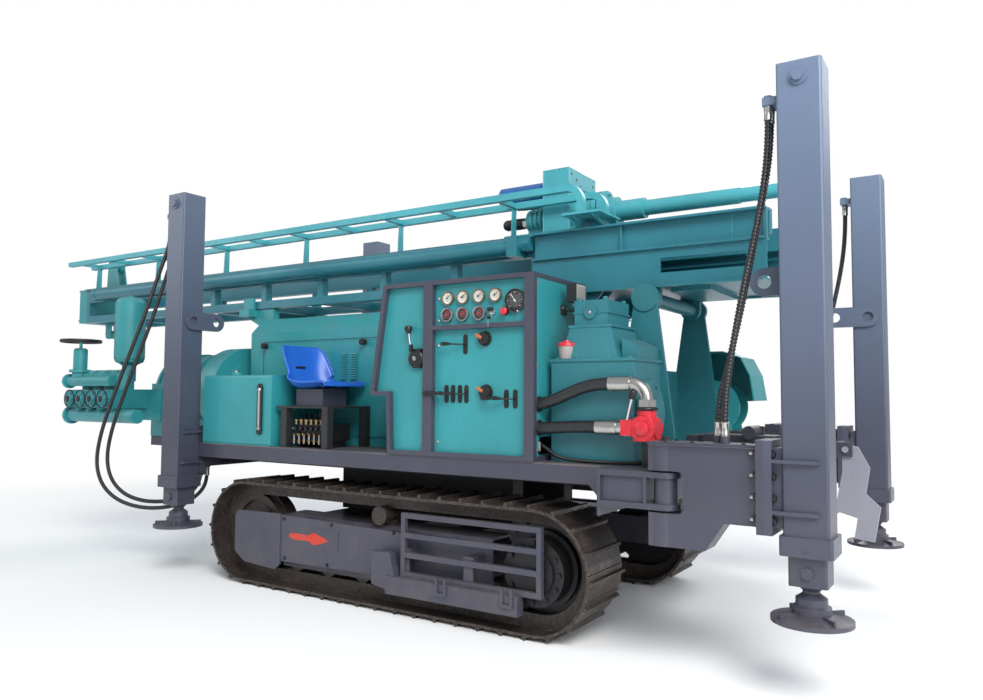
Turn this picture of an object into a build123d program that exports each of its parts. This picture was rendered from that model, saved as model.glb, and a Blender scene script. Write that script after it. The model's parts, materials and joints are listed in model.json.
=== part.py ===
"""Crawler water well drilling rig in travel position: mast lying flat, four jack legs hanging clear of the ground.

Millimetres. X runs along the machine, +X to the drilling end. -Y is the operator's side. Z = 0 is the ground.
"""

from build123d import *
import math
import os

os.makedirs("parts", exist_ok=True)

# Sides of the machine: name and sign of Y
SIDES = (("near", -1), ("far", 1))
# Running clearance of fits, and the gap between pieces that only pass each other
FIT = 0.3
GAP = 6

# Deck and main frame
DECK_HALF = 920
DECK_Z = 905
DECK_PLATE = 8
DECK_LEFT = -748
DECK_RIGHT = 2344
EDGE_RIGHT = 2286
EDGE_WIDTH = 60
EDGE_HEIGHT = 95
EDGE_WALL = 8
RAIL_Y = 330
RAIL_WIDTH = 120
FRAME_HEIGHT = 168
CROSS_TUBE = 60
TAIL_LENGTH = 241
TAIL_WALL = 12
STUB_WIDTH = 180

# Tracks
SHOE_WIDTH = 400
TRACK_RADIUS = 342.5
IDLER_X = -278
SPROCKET_X = 1908
SHOE_COUNT = 46
SHOE_THICKNESS = 14
GROUSER_HEIGHT = 20
GROUSER_ROOT = 24
GROUSER_TIP = 12
LINK_HEIGHT = 75
LINK_WIDTH = 40
LINK_Y = 65
SPROCKET_WIDTH = 60
SPROCKET_TEETH = 19
TOOTH_HEIGHT = 42
DRIVE_RADIUS = 175
DRIVE_BOLTS = 12
RIM_HALF = 80
ROLLER_COUNT = 6
ROLLER_RADIUS = 68
CARRIER_RADIUS = 42
CARRIER_X = 850
BEAM_HALF = 95
BEAM_WALL = 12
BEAM_LEFT = 0
BEAM_RIGHT = 1610
BEAM_HEIGHT = 208
BEAM_Z = 262
SKIRT_DROP = 125
COVER_LEFT = -369
COVER_SEAM = 60
COVER_RIGHT = 1061
COVER_Z = 186
COVER_HEIGHT = 290
COVER_OUT = 180
RACK_LEFT = 1086
RACK_RIGHT = 1985
RACK_Z = 227
RACK_HEIGHT = 355
RACK_BAR = 28
RACK_BARS = 4
STEP_LEFT = 1003
STEP_RIGHT = 1866
STEP_Z = 130
STEP_HEIGHT = 105
STEP_DEPTH = 60
CROSS_LEFT = 260
CROSS_RIGHT = 1330
CROSS_WIDTH = 180
CROSS_Z = 300
CROSS_HEIGHT = 170

# Legs
LEG_OUT = 85
LEG_LEFT_X = -838
LEG_RIGHT_X = 3265
LEG_TUBE = 180
LEG_CORNER = 12
LEG_WALL = 9
LEG_TOP = 2650
LEG_EYE = 18
LEG_BOTTOM = 606
COLLAR_HEIGHT = 78
COLLAR_WIDTH = 206
INNER_TUBE = 150
INNER_WALL = 8
INNER_BOTTOM = 485
INNER_TOP = 2400
PAD_RADIUS = 160
PAD_Z = 335
PAD_RIM = 18
PAD_CUP = 62
STUD_RADIUS = 34
EYE_Z = 1746
EYE_RADIUS = 62
EYE_HOLE = 30
EYE_SPAN = 190
EYE_PLATE = 20
RIB_LOW = 768
RIB_STEP = 207
RIB_THICKNESS = 14
RIB_DEPTH = 22
FLANGE = 32
FLANGE_LOW = 680
FLANGE_HIGH = 1065
FLANGE_HALF = 105
NECK = 36
NECK_HALF = 70

# Hoses of the legs: their fittings near the top and the glands where they end
HOSE_RADIUS = 14
HOSE_TOP = 2480
HOSE_STEP = 46
HOSE_SPACING = 25
HOSE_FITTING = 34
GLAND_RADIUS = 20
GLAND_HEIGHT = 30

# Swing arms of the right-hand legs
HINGE_OUT = 70
HINGE_PIN = 30
HINGE_RADIUS = 68
HINGE_PLATE = 26
ARM_HALF = 70
ARM_BACK = 57
ARM_LOW = 583
ARM_HIGH = 1030
ARM_LID = 12
ARM_KNEE = 2934
ARM_HEEL = 2852
NOTCH_DEPTH = 101
NOTCH_CORNER = 26
JAW_BARREL = 78

# Mast and its pivot
PIVOT_X = 2330
PIVOT_Z = 1780
PIVOT_PIN = 40
PIVOT_BOSS = 62
TOWER_PLATE = 22
TOWER_GAP = 30
MAST_LEFT = -3290
MAST_RIGHT = 2960
MAST_HALF = 300
MAST_TOP = 2220
TUBE_HEIGHT = 130
TUBE_WIDTH = 60
CHORD_HEIGHT = 60
CHORD_DROP = 255
POST_COUNT = 9
POST_WIDTH = 50
CRADLE_LEFT = 1600
CRADLE_HALF = 370
CRADLE_DROP = 372
CRADLE_WALL = 14
BEAM_FLANGE = 22
WINDOW_LEFT = 2397
WINDOW_RIGHT = 2860
WINDOW_LOW = 1915
WINDOW_HIGH = 1995
CROWN_LENGTH = 120
CROWN_LUG = 560
SHEAVE_RADIUS = 88
SHEAVE_PIN = 20
SHEAVE_HALF = 28
LADDER_Z = 2430
LADDER_TUBE = 40
LADDER_NEAR = 490
LADDER_FAR = 230
RUNG_COUNT = 11
RUNG_PITCH = 455
RUNG_FIRST = -3158
FEED_RADIUS = 52
FEED_LEFT = -3050
FEED_DROP = 70

# Rotary head and drill rod
SPINDLE_UP = 159
HEAD_LEFT = 1570
HEAD_LENGTH = 180
HEAD_HALF = 190
HEAD_UP = 270
CARRIAGE_LEFT = 1300
CARRIAGE_RIGHT = 1790
CARRIAGE_PLATE = 36
SPINDLE_FLANGE = 135
ROD_RADIUS = 46
ROD_STEP = 2733
ROD_TIP = 3080
ROD_BORE = 18

# Lift cylinders
LIFT_X = 1150
LIFT_UP = 95
LIFT_Y = 285
LIFT_EYE_X = 1950
LIFT_EYE_DROP = 73
LIFT_BARREL = 62
LIFT_BORE = 50
LIFT_ROD = 35
LIFT_EYE = 44
LIFT_PIN = 24
LIFT_EYE_WIDTH = 84

# Machinery on the deck
HOOD_LEFT = -733
HOOD_RIGHT = 812
HOOD_HALF = 500
HOOD_TOP = 1803
HOOD_CHAMFER = 110
HOOD_SHEET = 4
TANK_LEFT = -711
TANK_RIGHT = -30
TANK_HEIGHT = 465
TANK_CORNER = 18
DRUM_LEFT = -1035
DRUM_RIGHT = -860
DRUM_Y = -400
DRUM_RADIUS = 338
DRUM_UP = 347
CABINET_RIGHT = 1925
CABINET_DEPTH = 480
CABINET_TOP = 1885
CABINET_TUBE = 24
CABINET_SHEET = 4
PANEL_RECESS = 35
SEAT_BASE = 1258
SEAT_RISE = 305
SEAT_SHELL = 14
GEARBOX_LEFT = 1960
GEARBOX_RIGHT = 2420
GEARBOX_TOP = 1420
GEARBOX_NECK = 1597
GEARBOX_CAP = 1740
PUMP_LEFT = -2280
PUMP_RIGHT = -1520
FLUID_LEFT = -2290
FLUID_RIGHT = -1690
VESSEL_RADIUS = 113
VESSEL_X = -1856
VESSEL_Y = -760

# Values that follow from those above
LEG_Y = DECK_HALF + LEG_OUT
TUBE_TOP = LEG_TOP - LEG_EYE
TOP_PIN_Z = TUBE_TOP - 70
TRACK_Y = DECK_HALF - SHOE_WIDTH / 2
UNDER = DECK_Z - DECK_PLATE
FRAME_Z = DECK_Z - FRAME_HEIGHT
TAIL_RIGHT = DECK_RIGHT + TAIL_LENGTH
TAIL_HALF = LEG_Y + HINGE_RADIUS - 3
HINGE_X = TAIL_RIGHT + HINGE_OUT
ARM_LEFT = HINGE_X - ARM_BACK
NOTCH_X = HINGE_X + NOTCH_DEPTH
NOTCH_LOW = FRAME_Z - 9
NOTCH_HIGH = DECK_Z + 9
ARM_UNDER = NOTCH_LOW - 22
SPINDLE_Z = MAST_TOP + SPINDLE_UP
FEED_Z = MAST_TOP - FEED_DROP
FEED_RIGHT = CRADLE_LEFT - 158
HEAD_TOP = SPINDLE_Z + HEAD_UP
CHORD_TOP = MAST_TOP - CHORD_DROP
CHORD_Z = CHORD_TOP - CHORD_HEIGHT
CRADLE_Z = MAST_TOP - CRADLE_DROP
TOWER_IN = CRADLE_HALF + TOWER_GAP
LIFT_Z = DECK_Z + LIFT_UP
LIFT_EYE_Z = CRADLE_Z - LIFT_EYE_DROP
STUB_HALF = LEG_Y - LEG_TUBE / 2 - 2 * FLANGE
DRUM_Z = DECK_Z + DRUM_UP
CABINET_FRONT = -DECK_HALF - 10
CABINET_BACK = CABINET_FRONT + CABINET_DEPTH
SEAT_NEAR = -DECK_HALF + 5
SEAT_FAR = -HOOD_HALF - 15


def block(x, y, z, mode=Mode.ADD):
    """Add a box between two X, two Y and two Z values."""
    with Locations(((x[0] + x[1]) / 2, (y[0] + y[1]) / 2, (z[0] + z[1]) / 2)):
        Box(abs(x[1] - x[0]), abs(y[1] - y[0]), abs(z[1] - z[0]), mode=mode)


def pillar(x, y, width, z, corner, mode=Mode.ADD):
    """Add a square post with rounded corners between two Z values."""
    with BuildSketch(Plane.XY.offset(min(z))) as profile:
        with Locations((x, y)):
            RectangleRounded(width, width, corner)
    extrude(profile.sketch, amount=abs(z[1] - z[0]), mode=mode)


def round_x(y, z, radius, x, mode=Mode.ADD):
    """Add a cylinder along X."""
    with BuildSketch(Plane.YZ.offset(min(x))) as profile:
        with Locations((y, z)):
            Circle(radius)
    extrude(profile.sketch, amount=abs(x[1] - x[0]), mode=mode)


def round_y(x, z, radius, y, mode=Mode.ADD):
    """Add a cylinder along Y."""
    with BuildSketch(Plane.XZ.offset(-max(y))) as profile:
        with Locations((x, z)):
            Circle(radius)
    extrude(profile.sketch, amount=abs(y[1] - y[0]), mode=mode)


def round_z(x, y, radius, z, mode=Mode.ADD):
    """Add a cylinder along Z."""
    with BuildSketch(Plane.XY.offset(min(z))) as profile:
        with Locations((x, y)):
            Circle(radius)
    extrude(profile.sketch, amount=abs(z[1] - z[0]), mode=mode)


def hex_x(y, z, radius, x):
    """Add a hexagon nut or head along X."""
    with BuildSketch(Plane.YZ.offset(min(x))) as profile:
        with Locations((y, z)):
            RegularPolygon(radius, 6)
    extrude(profile.sketch, amount=abs(x[1] - x[0]))


def hex_y(x, z, radius, y):
    """Add a hexagon nut or head along Y."""
    with BuildSketch(Plane.XZ.offset(-max(y))) as profile:
        with Locations((x, z)):
            RegularPolygon(radius, 6)
    extrude(profile.sketch, amount=abs(y[1] - y[0]))


def hex_z(x, y, radius, z):
    """Add a hexagon nut or head along Z."""
    with BuildSketch(Plane.XY.offset(min(z))) as profile:
        with Locations((x, y)):
            RegularPolygon(radius, 6)
    extrude(profile.sketch, amount=abs(z[1] - z[0]))


def plate_xz(points, y, mode=Mode.ADD):
    """Add an outline drawn in X and Z, as thick as the two Y values say."""
    with BuildSketch(Plane.XZ.offset(-max(y))) as profile:
        with BuildLine():
            Polyline(*points, close=True)
        make_face()
    extrude(profile.sketch, amount=abs(y[1] - y[0]), mode=mode)


def plate_yz(points, x, mode=Mode.ADD):
    """Add an outline drawn in Y and Z, as thick as the two X values say."""
    with BuildSketch(Plane.YZ.offset(min(x))) as profile:
        with BuildLine():
            Polyline(*points, close=True)
        make_face()
    extrude(profile.sketch, amount=abs(x[1] - x[0]), mode=mode)


def plate_xy(points, z, mode=Mode.ADD):
    """Add an outline drawn in X and Y, as thick as the two Z values say."""
    with BuildSketch(Plane.XY.offset(min(z))) as profile:
        with BuildLine():
            Polyline(*points, close=True)
        make_face()
    extrude(profile.sketch, amount=abs(z[1] - z[0]), mode=mode)


def lug_xz(x, z, radius, foot_x, foot_z, y):
    """Add a lug with a round end at one point that runs down to a straight foot."""
    with BuildSketch(Plane.XZ.offset(-max(y))) as profile:
        with Locations((x, z)):
            Circle(radius)
        with BuildLine():
            Polyline((x - radius, z), (x + radius, z), (foot_x[1], foot_z), (foot_x[0], foot_z), close=True)
        make_face()
    extrude(profile.sketch, amount=abs(y[1] - y[0]))


def turned(points, x, y):
    """Add a body turned about an upright axis from points of radius and height."""
    with BuildSketch(Plane(origin=(x, y, 0), x_dir=(1, 0, 0), z_dir=(0, -1, 0))) as profile:
        with BuildLine():
            Polyline(*points, close=True)
        make_face()
    revolve(profile.sketch, axis=Axis((x, y, 0), (0, 0, 1)))


def save(part, label):
    """Label one piece and write it out."""
    part.label = label
    export_step(part, f"parts/{label}.step")


# Tracks


def track_point(distance, depth):
    """Point of the track's loop, a depth inside the tips of the grousers."""
    run = SPROCKET_X - IDLER_X
    bend = math.pi * TRACK_RADIUS
    distance = distance % (2 * (run + bend))
    radius = TRACK_RADIUS - depth
    if distance < run:
        return (IDLER_X + distance, TRACK_RADIUS + radius)
    if distance < run + bend:
        angle = math.pi / 2 - (distance - run) / TRACK_RADIUS
        return (SPROCKET_X + radius * math.cos(angle), TRACK_RADIUS + radius * math.sin(angle))
    if distance < 2 * run + bend:
        return (SPROCKET_X - (distance - run - bend), TRACK_RADIUS - radius)
    angle = -math.pi / 2 - (distance - 2 * run - bend) / TRACK_RADIUS
    return (IDLER_X + radius * math.cos(angle), TRACK_RADIUS + radius * math.sin(angle))


def stadium(depth):
    """Length and height of the loop drawn a depth inside the grouser tips."""
    radius = TRACK_RADIUS - depth
    return SPROCKET_X - IDLER_X + 2 * radius, 2 * radius


TRACK_MIDDLE = (IDLER_X + SPROCKET_X) / 2
BAND = GROUSER_HEIGHT + SHOE_THICKNESS
LINK_DEPTH = BAND + LINK_HEIGHT
WHEEL_RADIUS = TRACK_RADIUS - LINK_DEPTH - FIT
SHOE_PITCH = 2 * (SPROCKET_X - IDLER_X + math.pi * TRACK_RADIUS) / SHOE_COUNT
BEAM_TOP = BEAM_Z + BEAM_HEIGHT
COVER_TOP = COVER_Z + COVER_HEIGHT
# One shoe: share of the pitch, millimetres past it, and depth under the grouser tips
SHOE = (
    (0, 0, BAND - 3),
    (0, 5, BAND - 3),
    (0, 5, GROUSER_HEIGHT),
    (0.3, -GROUSER_ROOT / 2, GROUSER_HEIGHT),
    (0.3, -GROUSER_TIP / 2, 0),
    (0.3, GROUSER_TIP / 2, 0),
    (0.3, GROUSER_ROOT / 2, GROUSER_HEIGHT),
    (0.72, 0, GROUSER_HEIGHT),
    (1, 0, GROUSER_HEIGHT),
)

for side, s in SIDES:
    track_y = s * TRACK_Y

    # Track: shoes and the two rows of links behind them, one loop
    outline = []
    for i in range(SHOE_COUNT):
        for share, past, depth in SHOE:
            outline.append(track_point((i + share) * SHOE_PITCH + past, depth))
    with BuildPart() as track:
        with BuildSketch(Plane.XZ.offset(-track_y + SHOE_WIDTH / 2)):
            with BuildLine():
                Polyline(*outline, close=True)
            make_face()
            with Locations((TRACK_MIDDLE, TRACK_RADIUS)):
                SlotOverall(*stadium(BAND), mode=Mode.SUBTRACT)
        extrude(amount=-SHOE_WIDTH)
        for row in (-1, 1):
            with BuildSketch(Plane.XZ.offset(-track_y + row * LINK_Y + LINK_WIDTH / 2)):
                with Locations((TRACK_MIDDLE, TRACK_RADIUS)):
                    SlotOverall(*stadium(BAND))
                    SlotOverall(*stadium(LINK_DEPTH), mode=Mode.SUBTRACT)
            extrude(amount=-LINK_WIDTH)
    save(track.part, f"track_{side}")

    # Track frame: a box beam, skirts for the rollers, yokes for both wheels and the outer cover
    inner = BEAM_HALF - BEAM_WALL
    out = track_y + s * COVER_OUT
    shell = (out - s * BEAM_WALL, out)
    with BuildPart() as track_frame:
        block((BEAM_LEFT, BEAM_RIGHT), (track_y - BEAM_HALF, track_y + BEAM_HALF), (BEAM_Z, BEAM_TOP))
        hollow = (BEAM_Z + BEAM_WALL, BEAM_TOP - BEAM_WALL)
        block((BEAM_LEFT, BEAM_RIGHT), (track_y - inner, track_y + inner), hollow, mode=Mode.SUBTRACT)
        for face in (-1, 1):
            wall = (track_y + face * inner, track_y + face * BEAM_HALF)
            block((BEAM_LEFT, BEAM_RIGHT), wall, (BEAM_Z - SKIRT_DROP, BEAM_Z))
            block((IDLER_X - 60, BEAM_LEFT), wall, (TRACK_RADIUS - 55, TRACK_RADIUS + 55))
        inside = (track_y - s * inner, track_y - s * BEAM_HALF)
        block((BEAM_RIGHT, SPROCKET_X + 90), inside, (TRACK_RADIUS - 90, TRACK_RADIUS + 90))
        nose = (
            (COVER_LEFT, COVER_Z + 25),
            (COVER_LEFT + 30, COVER_Z),
            (COVER_LEFT + 100, COVER_Z - 40),
            (COVER_SEAM - 40, COVER_Z - 58),
            (COVER_SEAM, COVER_Z - 20),
            (COVER_SEAM, COVER_TOP + 6),
            (COVER_LEFT + 26, COVER_TOP),
            (COVER_LEFT, COVER_TOP - 40),
        )
        plate_xz(nose, (shell[0], shell[1] + s * 6))
        body = (
            (COVER_SEAM, COVER_Z),
            (STEP_LEFT + 40, COVER_Z + 14),
            (COVER_RIGHT, COVER_Z + 60),
            (COVER_RIGHT, COVER_TOP - 20),
            (COVER_SEAM, COVER_TOP),
        )
        plate_xz(body, shell)
        block((360, 560), (out, out + s * 3), (COVER_Z + 110, COVER_Z + 230))
        for z in (COVER_Z + 14, COVER_TOP - 20 - BEAM_WALL):
            block((BEAM_LEFT, COVER_RIGHT), (track_y + s * BEAM_HALF, shell[0]), (z, z + BEAM_WALL))
        slope = (
            (track_y + s * BEAM_HALF, BEAM_TOP - 2),
            (shell[0], COVER_TOP - 20 - BEAM_WALL),
            (track_y + s * BEAM_HALF, COVER_TOP - 20 - BEAM_WALL),
        )
        plate_yz(slope, (COVER_SEAM, COVER_RIGHT))
        for x in (COVER_SEAM + 20, COVER_RIGHT - BEAM_WALL):
            block((x, x + BEAM_WALL), (track_y + s * BEAM_HALF, shell[0]), (COVER_Z + 24, COVER_TOP - 30))
    save(track_frame.part, f"track_frame_{side}")

# Idlers: a dished rim for the links and a guide flange between them
with BuildPart() as idlers:
    for side, s in SIDES:
        track_y = s * TRACK_Y
        round_y(IDLER_X, TRACK_RADIUS, WHEEL_RADIUS, (track_y - RIM_HALF, track_y + RIM_HALF))
        guide = LINK_Y - LINK_WIDTH / 2 - GAP
        round_y(IDLER_X, TRACK_RADIUS, WHEEL_RADIUS + 30, (track_y - guide, track_y + guide))
        for face in (-1, 1):
            dish = (track_y + face * (RIM_HALF - 30), track_y + face * (RIM_HALF + 10))
            round_y(IDLER_X, TRACK_RADIUS, WHEEL_RADIUS - 40, dish, mode=Mode.SUBTRACT)
            round_y(IDLER_X, TRACK_RADIUS, 60, (track_y + face * (RIM_HALF - 30), track_y + face * inner))
save(idlers.part, "idlers")

# Sprockets with the final drives' round housings on their outer sides
with BuildPart() as sprockets:
    for side, s in SIDES:
        track_y = s * TRACK_Y
        teeth = []
        for i in range(SPROCKET_TEETH):
            for share, height in ((0, 0), (0.3, 0), (0.45, TOOTH_HEIGHT), (0.75, TOOTH_HEIGHT), (0.9, 0)):
                angle = 2 * math.pi * (i + share) / SPROCKET_TEETH
                r = WHEEL_RADIUS + 8 + height
                teeth.append((SPROCKET_X + r * math.cos(angle), TRACK_RADIUS + r * math.sin(angle)))
        half = SPROCKET_WIDTH / 2
        plate_xz(teeth, (track_y - half, track_y + half))
        round_y(SPROCKET_X, TRACK_RADIUS, DRIVE_RADIUS + 25, (track_y + s * half, track_y + s * 70))
        round_y(SPROCKET_X, TRACK_RADIUS, DRIVE_RADIUS, (track_y + s * 70, track_y + s * 175))
        round_y(SPROCKET_X, TRACK_RADIUS, DRIVE_RADIUS - 55, (track_y + s * 175, track_y + s * 192))
        round_y(SPROCKET_X, TRACK_RADIUS, 105, (track_y - s * half, track_y - s * inner))
        for i in range(DRIVE_BOLTS):
            angle = 2 * math.pi * i / DRIVE_BOLTS
            bolt_x = SPROCKET_X + (DRIVE_RADIUS - 26) * math.cos(angle)
            bolt_z = TRACK_RADIUS + (DRIVE_RADIUS - 26) * math.sin(angle)
            hex_y(bolt_x, bolt_z, 13, (track_y + s * 175, track_y + s * 187))
save(sprockets.part, "sprockets")

# Rollers under the beams and one carrier roller above each
with BuildPart() as rollers:
    roller_z = LINK_DEPTH + ROLLER_RADIUS + FIT
    carrier_z = 2 * TRACK_RADIUS - LINK_DEPTH - CARRIER_RADIUS - FIT
    for side, s in SIDES:
        track_y = s * TRACK_Y
        for i in range(ROLLER_COUNT):
            x = BEAM_LEFT + 110 + i * (BEAM_RIGHT - BEAM_LEFT - 220) / (ROLLER_COUNT - 1)
            round_y(x, roller_z, ROLLER_RADIUS, (track_y - RIM_HALF, track_y + RIM_HALF))
            round_y(x, roller_z, 22, (track_y - inner, track_y + inner))
        round_y(CARRIER_X, carrier_z, CARRIER_RADIUS, (track_y - 85, track_y + 85))
        round_y(CARRIER_X, carrier_z, CARRIER_RADIUS + 12, (track_y + s * 85, track_y + s * 150))
        saddle = (BEAM_TOP, carrier_z - CARRIER_RADIUS + 8)
        block((CARRIER_X - 30, CARRIER_X + 30), (track_y - 20, track_y + 20), saddle)
save(rollers.part, "rollers")

# Step racks outside the tracks: a barred guard on a box step, carried by brackets from the track frames
with BuildPart() as step_racks:
    for side, s in SIDES:
        rack = s * (DECK_HALF + GAP)
        beam_y = s * (TRACK_Y + BEAM_HALF)
        for i in range(RACK_BARS):
            z = RACK_Z + i * (RACK_HEIGHT - RACK_BAR) / (RACK_BARS - 1)
            block((RACK_LEFT, RACK_RIGHT), (rack, rack + s * RACK_BAR), (z, z + RACK_BAR))
        for x in (RACK_LEFT, RACK_RIGHT - RACK_BAR):
            block((x, x + RACK_BAR), (rack, rack + s * RACK_BAR), (RACK_Z, RACK_Z + RACK_HEIGHT))
        step = (rack, rack + s * STEP_DEPTH)
        block((STEP_LEFT, STEP_RIGHT), step, (STEP_Z, STEP_Z + STEP_HEIGHT - GAP))
        post = (
            (STEP_LEFT - 110, STEP_Z + 40),
            (STEP_LEFT, STEP_Z + 20),
            (STEP_LEFT + 60, STEP_Z + STEP_HEIGHT - GAP),
            (STEP_LEFT + 20, STEP_Z + 225),
            (STEP_LEFT - 110, STEP_Z + 225),
        )
        plate_xz(post, (rack, rack + s * (STEP_DEPTH - 8)))
        for x in (STEP_LEFT + 390, STEP_RIGHT - 60):
            clamp = (rack + s * (STEP_DEPTH), rack + s * (STEP_DEPTH + 12))
            block((x - 35, x + 35), clamp, (STEP_Z + 40, STEP_Z + 56))
            for dx in (-28, 28):
                block((x + dx - 7, x + dx + 7), clamp, (STEP_Z + 56, STEP_Z + STEP_HEIGHT + 30))
            block((x - 35, x + 35), step, (STEP_Z + STEP_HEIGHT - GAP, RACK_Z))
        for x in (STEP_LEFT + 70, RACK_RIGHT - 480):
            block((x, x + 60), (beam_y, rack), (BEAM_Z + 70, BEAM_Z + 120))
            block((x, x + 60), (rack, rack + s * 12), (STEP_Z + STEP_HEIGHT - GAP, BEAM_Z + 120))
save(step_racks.part, "step_racks")

# Car body: two cross tubes between the track frames and two beams up to the deck
with BuildPart() as car_body:
    half = TRACK_Y - BEAM_HALF
    for x in (CROSS_LEFT, CROSS_RIGHT):
        block((x - CROSS_WIDTH / 2, x + CROSS_WIDTH / 2), (-half, half), (CROSS_Z, CROSS_Z + CROSS_HEIGHT))
        cut_x = (x - CROSS_WIDTH / 2 + 12, x + CROSS_WIDTH / 2 - 12)
        block(cut_x, (-half, half), (CROSS_Z + 12, CROSS_Z + CROSS_HEIGHT - 12), mode=Mode.SUBTRACT)
    for s in (-1, 1):
        y = (s * RAIL_Y - RAIL_WIDTH / 2, s * RAIL_Y + RAIL_WIDTH / 2)
        block((CROSS_LEFT - 150, CROSS_RIGHT + 150), y, (CROSS_Z + CROSS_HEIGHT, FRAME_Z))
    inside = RAIL_Y - RAIL_WIDTH / 2
    block((CROSS_LEFT + 250, CROSS_RIGHT - 250), (-inside, inside), (CROSS_Z + CROSS_HEIGHT + 60, FRAME_Z))
save(car_body.part, "car_body")

# Deck frame: main rails, edge channels, cross members and the stub beam for the left-hand legs
with BuildPart() as deck_frame:
    edge_z = DECK_Z - EDGE_HEIGHT
    for s in (-1, 1):
        y = (s * RAIL_Y - RAIL_WIDTH / 2, s * RAIL_Y + RAIL_WIDTH / 2)
        block((DECK_LEFT, DECK_RIGHT), y, (FRAME_Z, UNDER))
        edge = s * DECK_HALF
        block((DECK_LEFT, EDGE_RIGHT), (edge - s * EDGE_WALL, edge), (edge_z, UNDER))
        block((DECK_LEFT, EDGE_RIGHT), (edge - s * EDGE_WIDTH, edge - s * EDGE_WALL), (edge_z, edge_z + EDGE_WALL))
        for x in (DECK_LEFT, 0, 750, 1500, EDGE_RIGHT - CROSS_TUBE):
            y = (s * (RAIL_Y + RAIL_WIDTH / 2), edge - s * EDGE_WALL)
            block((x, x + CROSS_TUBE), y, (edge_z + EDGE_WALL, UNDER))
        gusset = ((EDGE_RIGHT - 56, edge_z), (DECK_RIGHT - 8, FRAME_Z - 47), (DECK_RIGHT, FRAME_Z - 47), (DECK_RIGHT, edge_z))
        plate_xz(gusset, (edge - s * 12, edge))
        block((EDGE_RIGHT, DECK_RIGHT), (edge - s * 12, edge), (edge_z, UNDER))
    for x in (0, 750, 1500):
        block((x, x + CROSS_TUBE), (-inside, inside), (FRAME_Z + 60, UNDER))
    stub_x = (DECK_LEFT - STUB_WIDTH, DECK_LEFT)
    block(stub_x, (-STUB_HALF, STUB_HALF), (FRAME_Z, UNDER))
    cut_x = (stub_x[0] + 12, stub_x[1] - 12)
    block(cut_x, (-STUB_HALF, STUB_HALF), (FRAME_Z + 12, UNDER - 12), mode=Mode.SUBTRACT)
    for s in (-1, 1):
        face = (s * STUB_HALF, s * (STUB_HALF + FLANGE))
        block((LEG_LEFT_X - FLANGE_HALF, LEG_LEFT_X + FLANGE_HALF - 20), face, (FLANGE_LOW, 1020))
    for y in (-791, -737):
        round_z(-893, y, GLAND_RADIUS, (FRAME_Z - GLAND_HEIGHT + 10, FRAME_Z))
save(deck_frame.part, "deck_frame")

# Deck plate
with BuildPart() as deck_plate:
    block((DECK_LEFT, DECK_RIGHT), (-DECK_HALF, DECK_HALF), (UNDER, DECK_Z))
    block(stub_x, (-STUB_HALF, STUB_HALF), (UNDER, DECK_Z))
save(deck_plate.part, "deck_plate")

# Tail frame: a cross box behind the deck with a pair of hinge plates and a pin at each end
with BuildPart() as tail_frame:
    block((DECK_RIGHT, TAIL_RIGHT), (-TAIL_HALF, TAIL_HALF), (FRAME_Z, DECK_Z))
    cut_x = (DECK_RIGHT + TAIL_WALL, TAIL_RIGHT - TAIL_WALL)
    cut_y = (-TAIL_HALF + TAIL_WALL, TAIL_HALF - TAIL_WALL)
    block(cut_x, cut_y, (FRAME_Z + TAIL_WALL, DECK_Z - TAIL_WALL), mode=Mode.SUBTRACT)
    block((cut_x[0] + 40, cut_x[1] - 40), (-150, 150), (FRAME_Z - 10, FRAME_Z + TAIL_WALL + 10), mode=Mode.SUBTRACT)
    for s in (-1, 1):
        for z in (FRAME_Z, DECK_Z - HINGE_PLATE):
            block((TAIL_RIGHT, HINGE_X), (s * LEG_Y - HINGE_RADIUS, s * LEG_Y + HINGE_RADIUS), (z, z + HINGE_PLATE))
            round_z(HINGE_X, s * LEG_Y, HINGE_RADIUS, (z, z + HINGE_PLATE))
        round_z(HINGE_X, s * LEG_Y, HINGE_RADIUS - 14, (FRAME_Z, DECK_Z))
        round_z(HINGE_X, s * LEG_Y, HINGE_PIN, (ARM_LOW - 4, ARM_HIGH + ARM_LID + 6))
        # A recessed web between the plates, as the photographed side shows
        recess = (s * (TAIL_HALF - TAIL_WALL), s * (TAIL_HALF + 1))
        block((DECK_RIGHT + 16, TAIL_RIGHT - 14), recess, (FRAME_Z + HINGE_PLATE, DECK_Z - HINGE_PLATE), mode=Mode.SUBTRACT)
        web = (s * (TAIL_HALF - 30), s * (TAIL_HALF - 18))
        block((DECK_RIGHT + TAIL_WALL, TAIL_RIGHT), web, (FRAME_Z + TAIL_WALL, DECK_Z - TAIL_WALL))
    block((DECK_RIGHT, DECK_RIGHT + 12), (-TAIL_HALF, TAIL_HALF), (FRAME_Z - 47, FRAME_Z))
    # Towing eye under the tail
    tow = ((TAIL_RIGHT - 90, FRAME_Z), (TAIL_RIGHT, FRAME_Z), (TAIL_RIGHT + 40, FRAME_Z - 130), (TAIL_RIGHT - 40, FRAME_Z - 150))
    plate_xz(tow, (-20, 20))
    round_y(TAIL_RIGHT, FRAME_Z - 140, 45, (-20, 20))
    round_y(TAIL_RIGHT, FRAME_Z - 140, 20, (-21, 21), mode=Mode.SUBTRACT)
save(tail_frame.part, "tail_frame")

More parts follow.
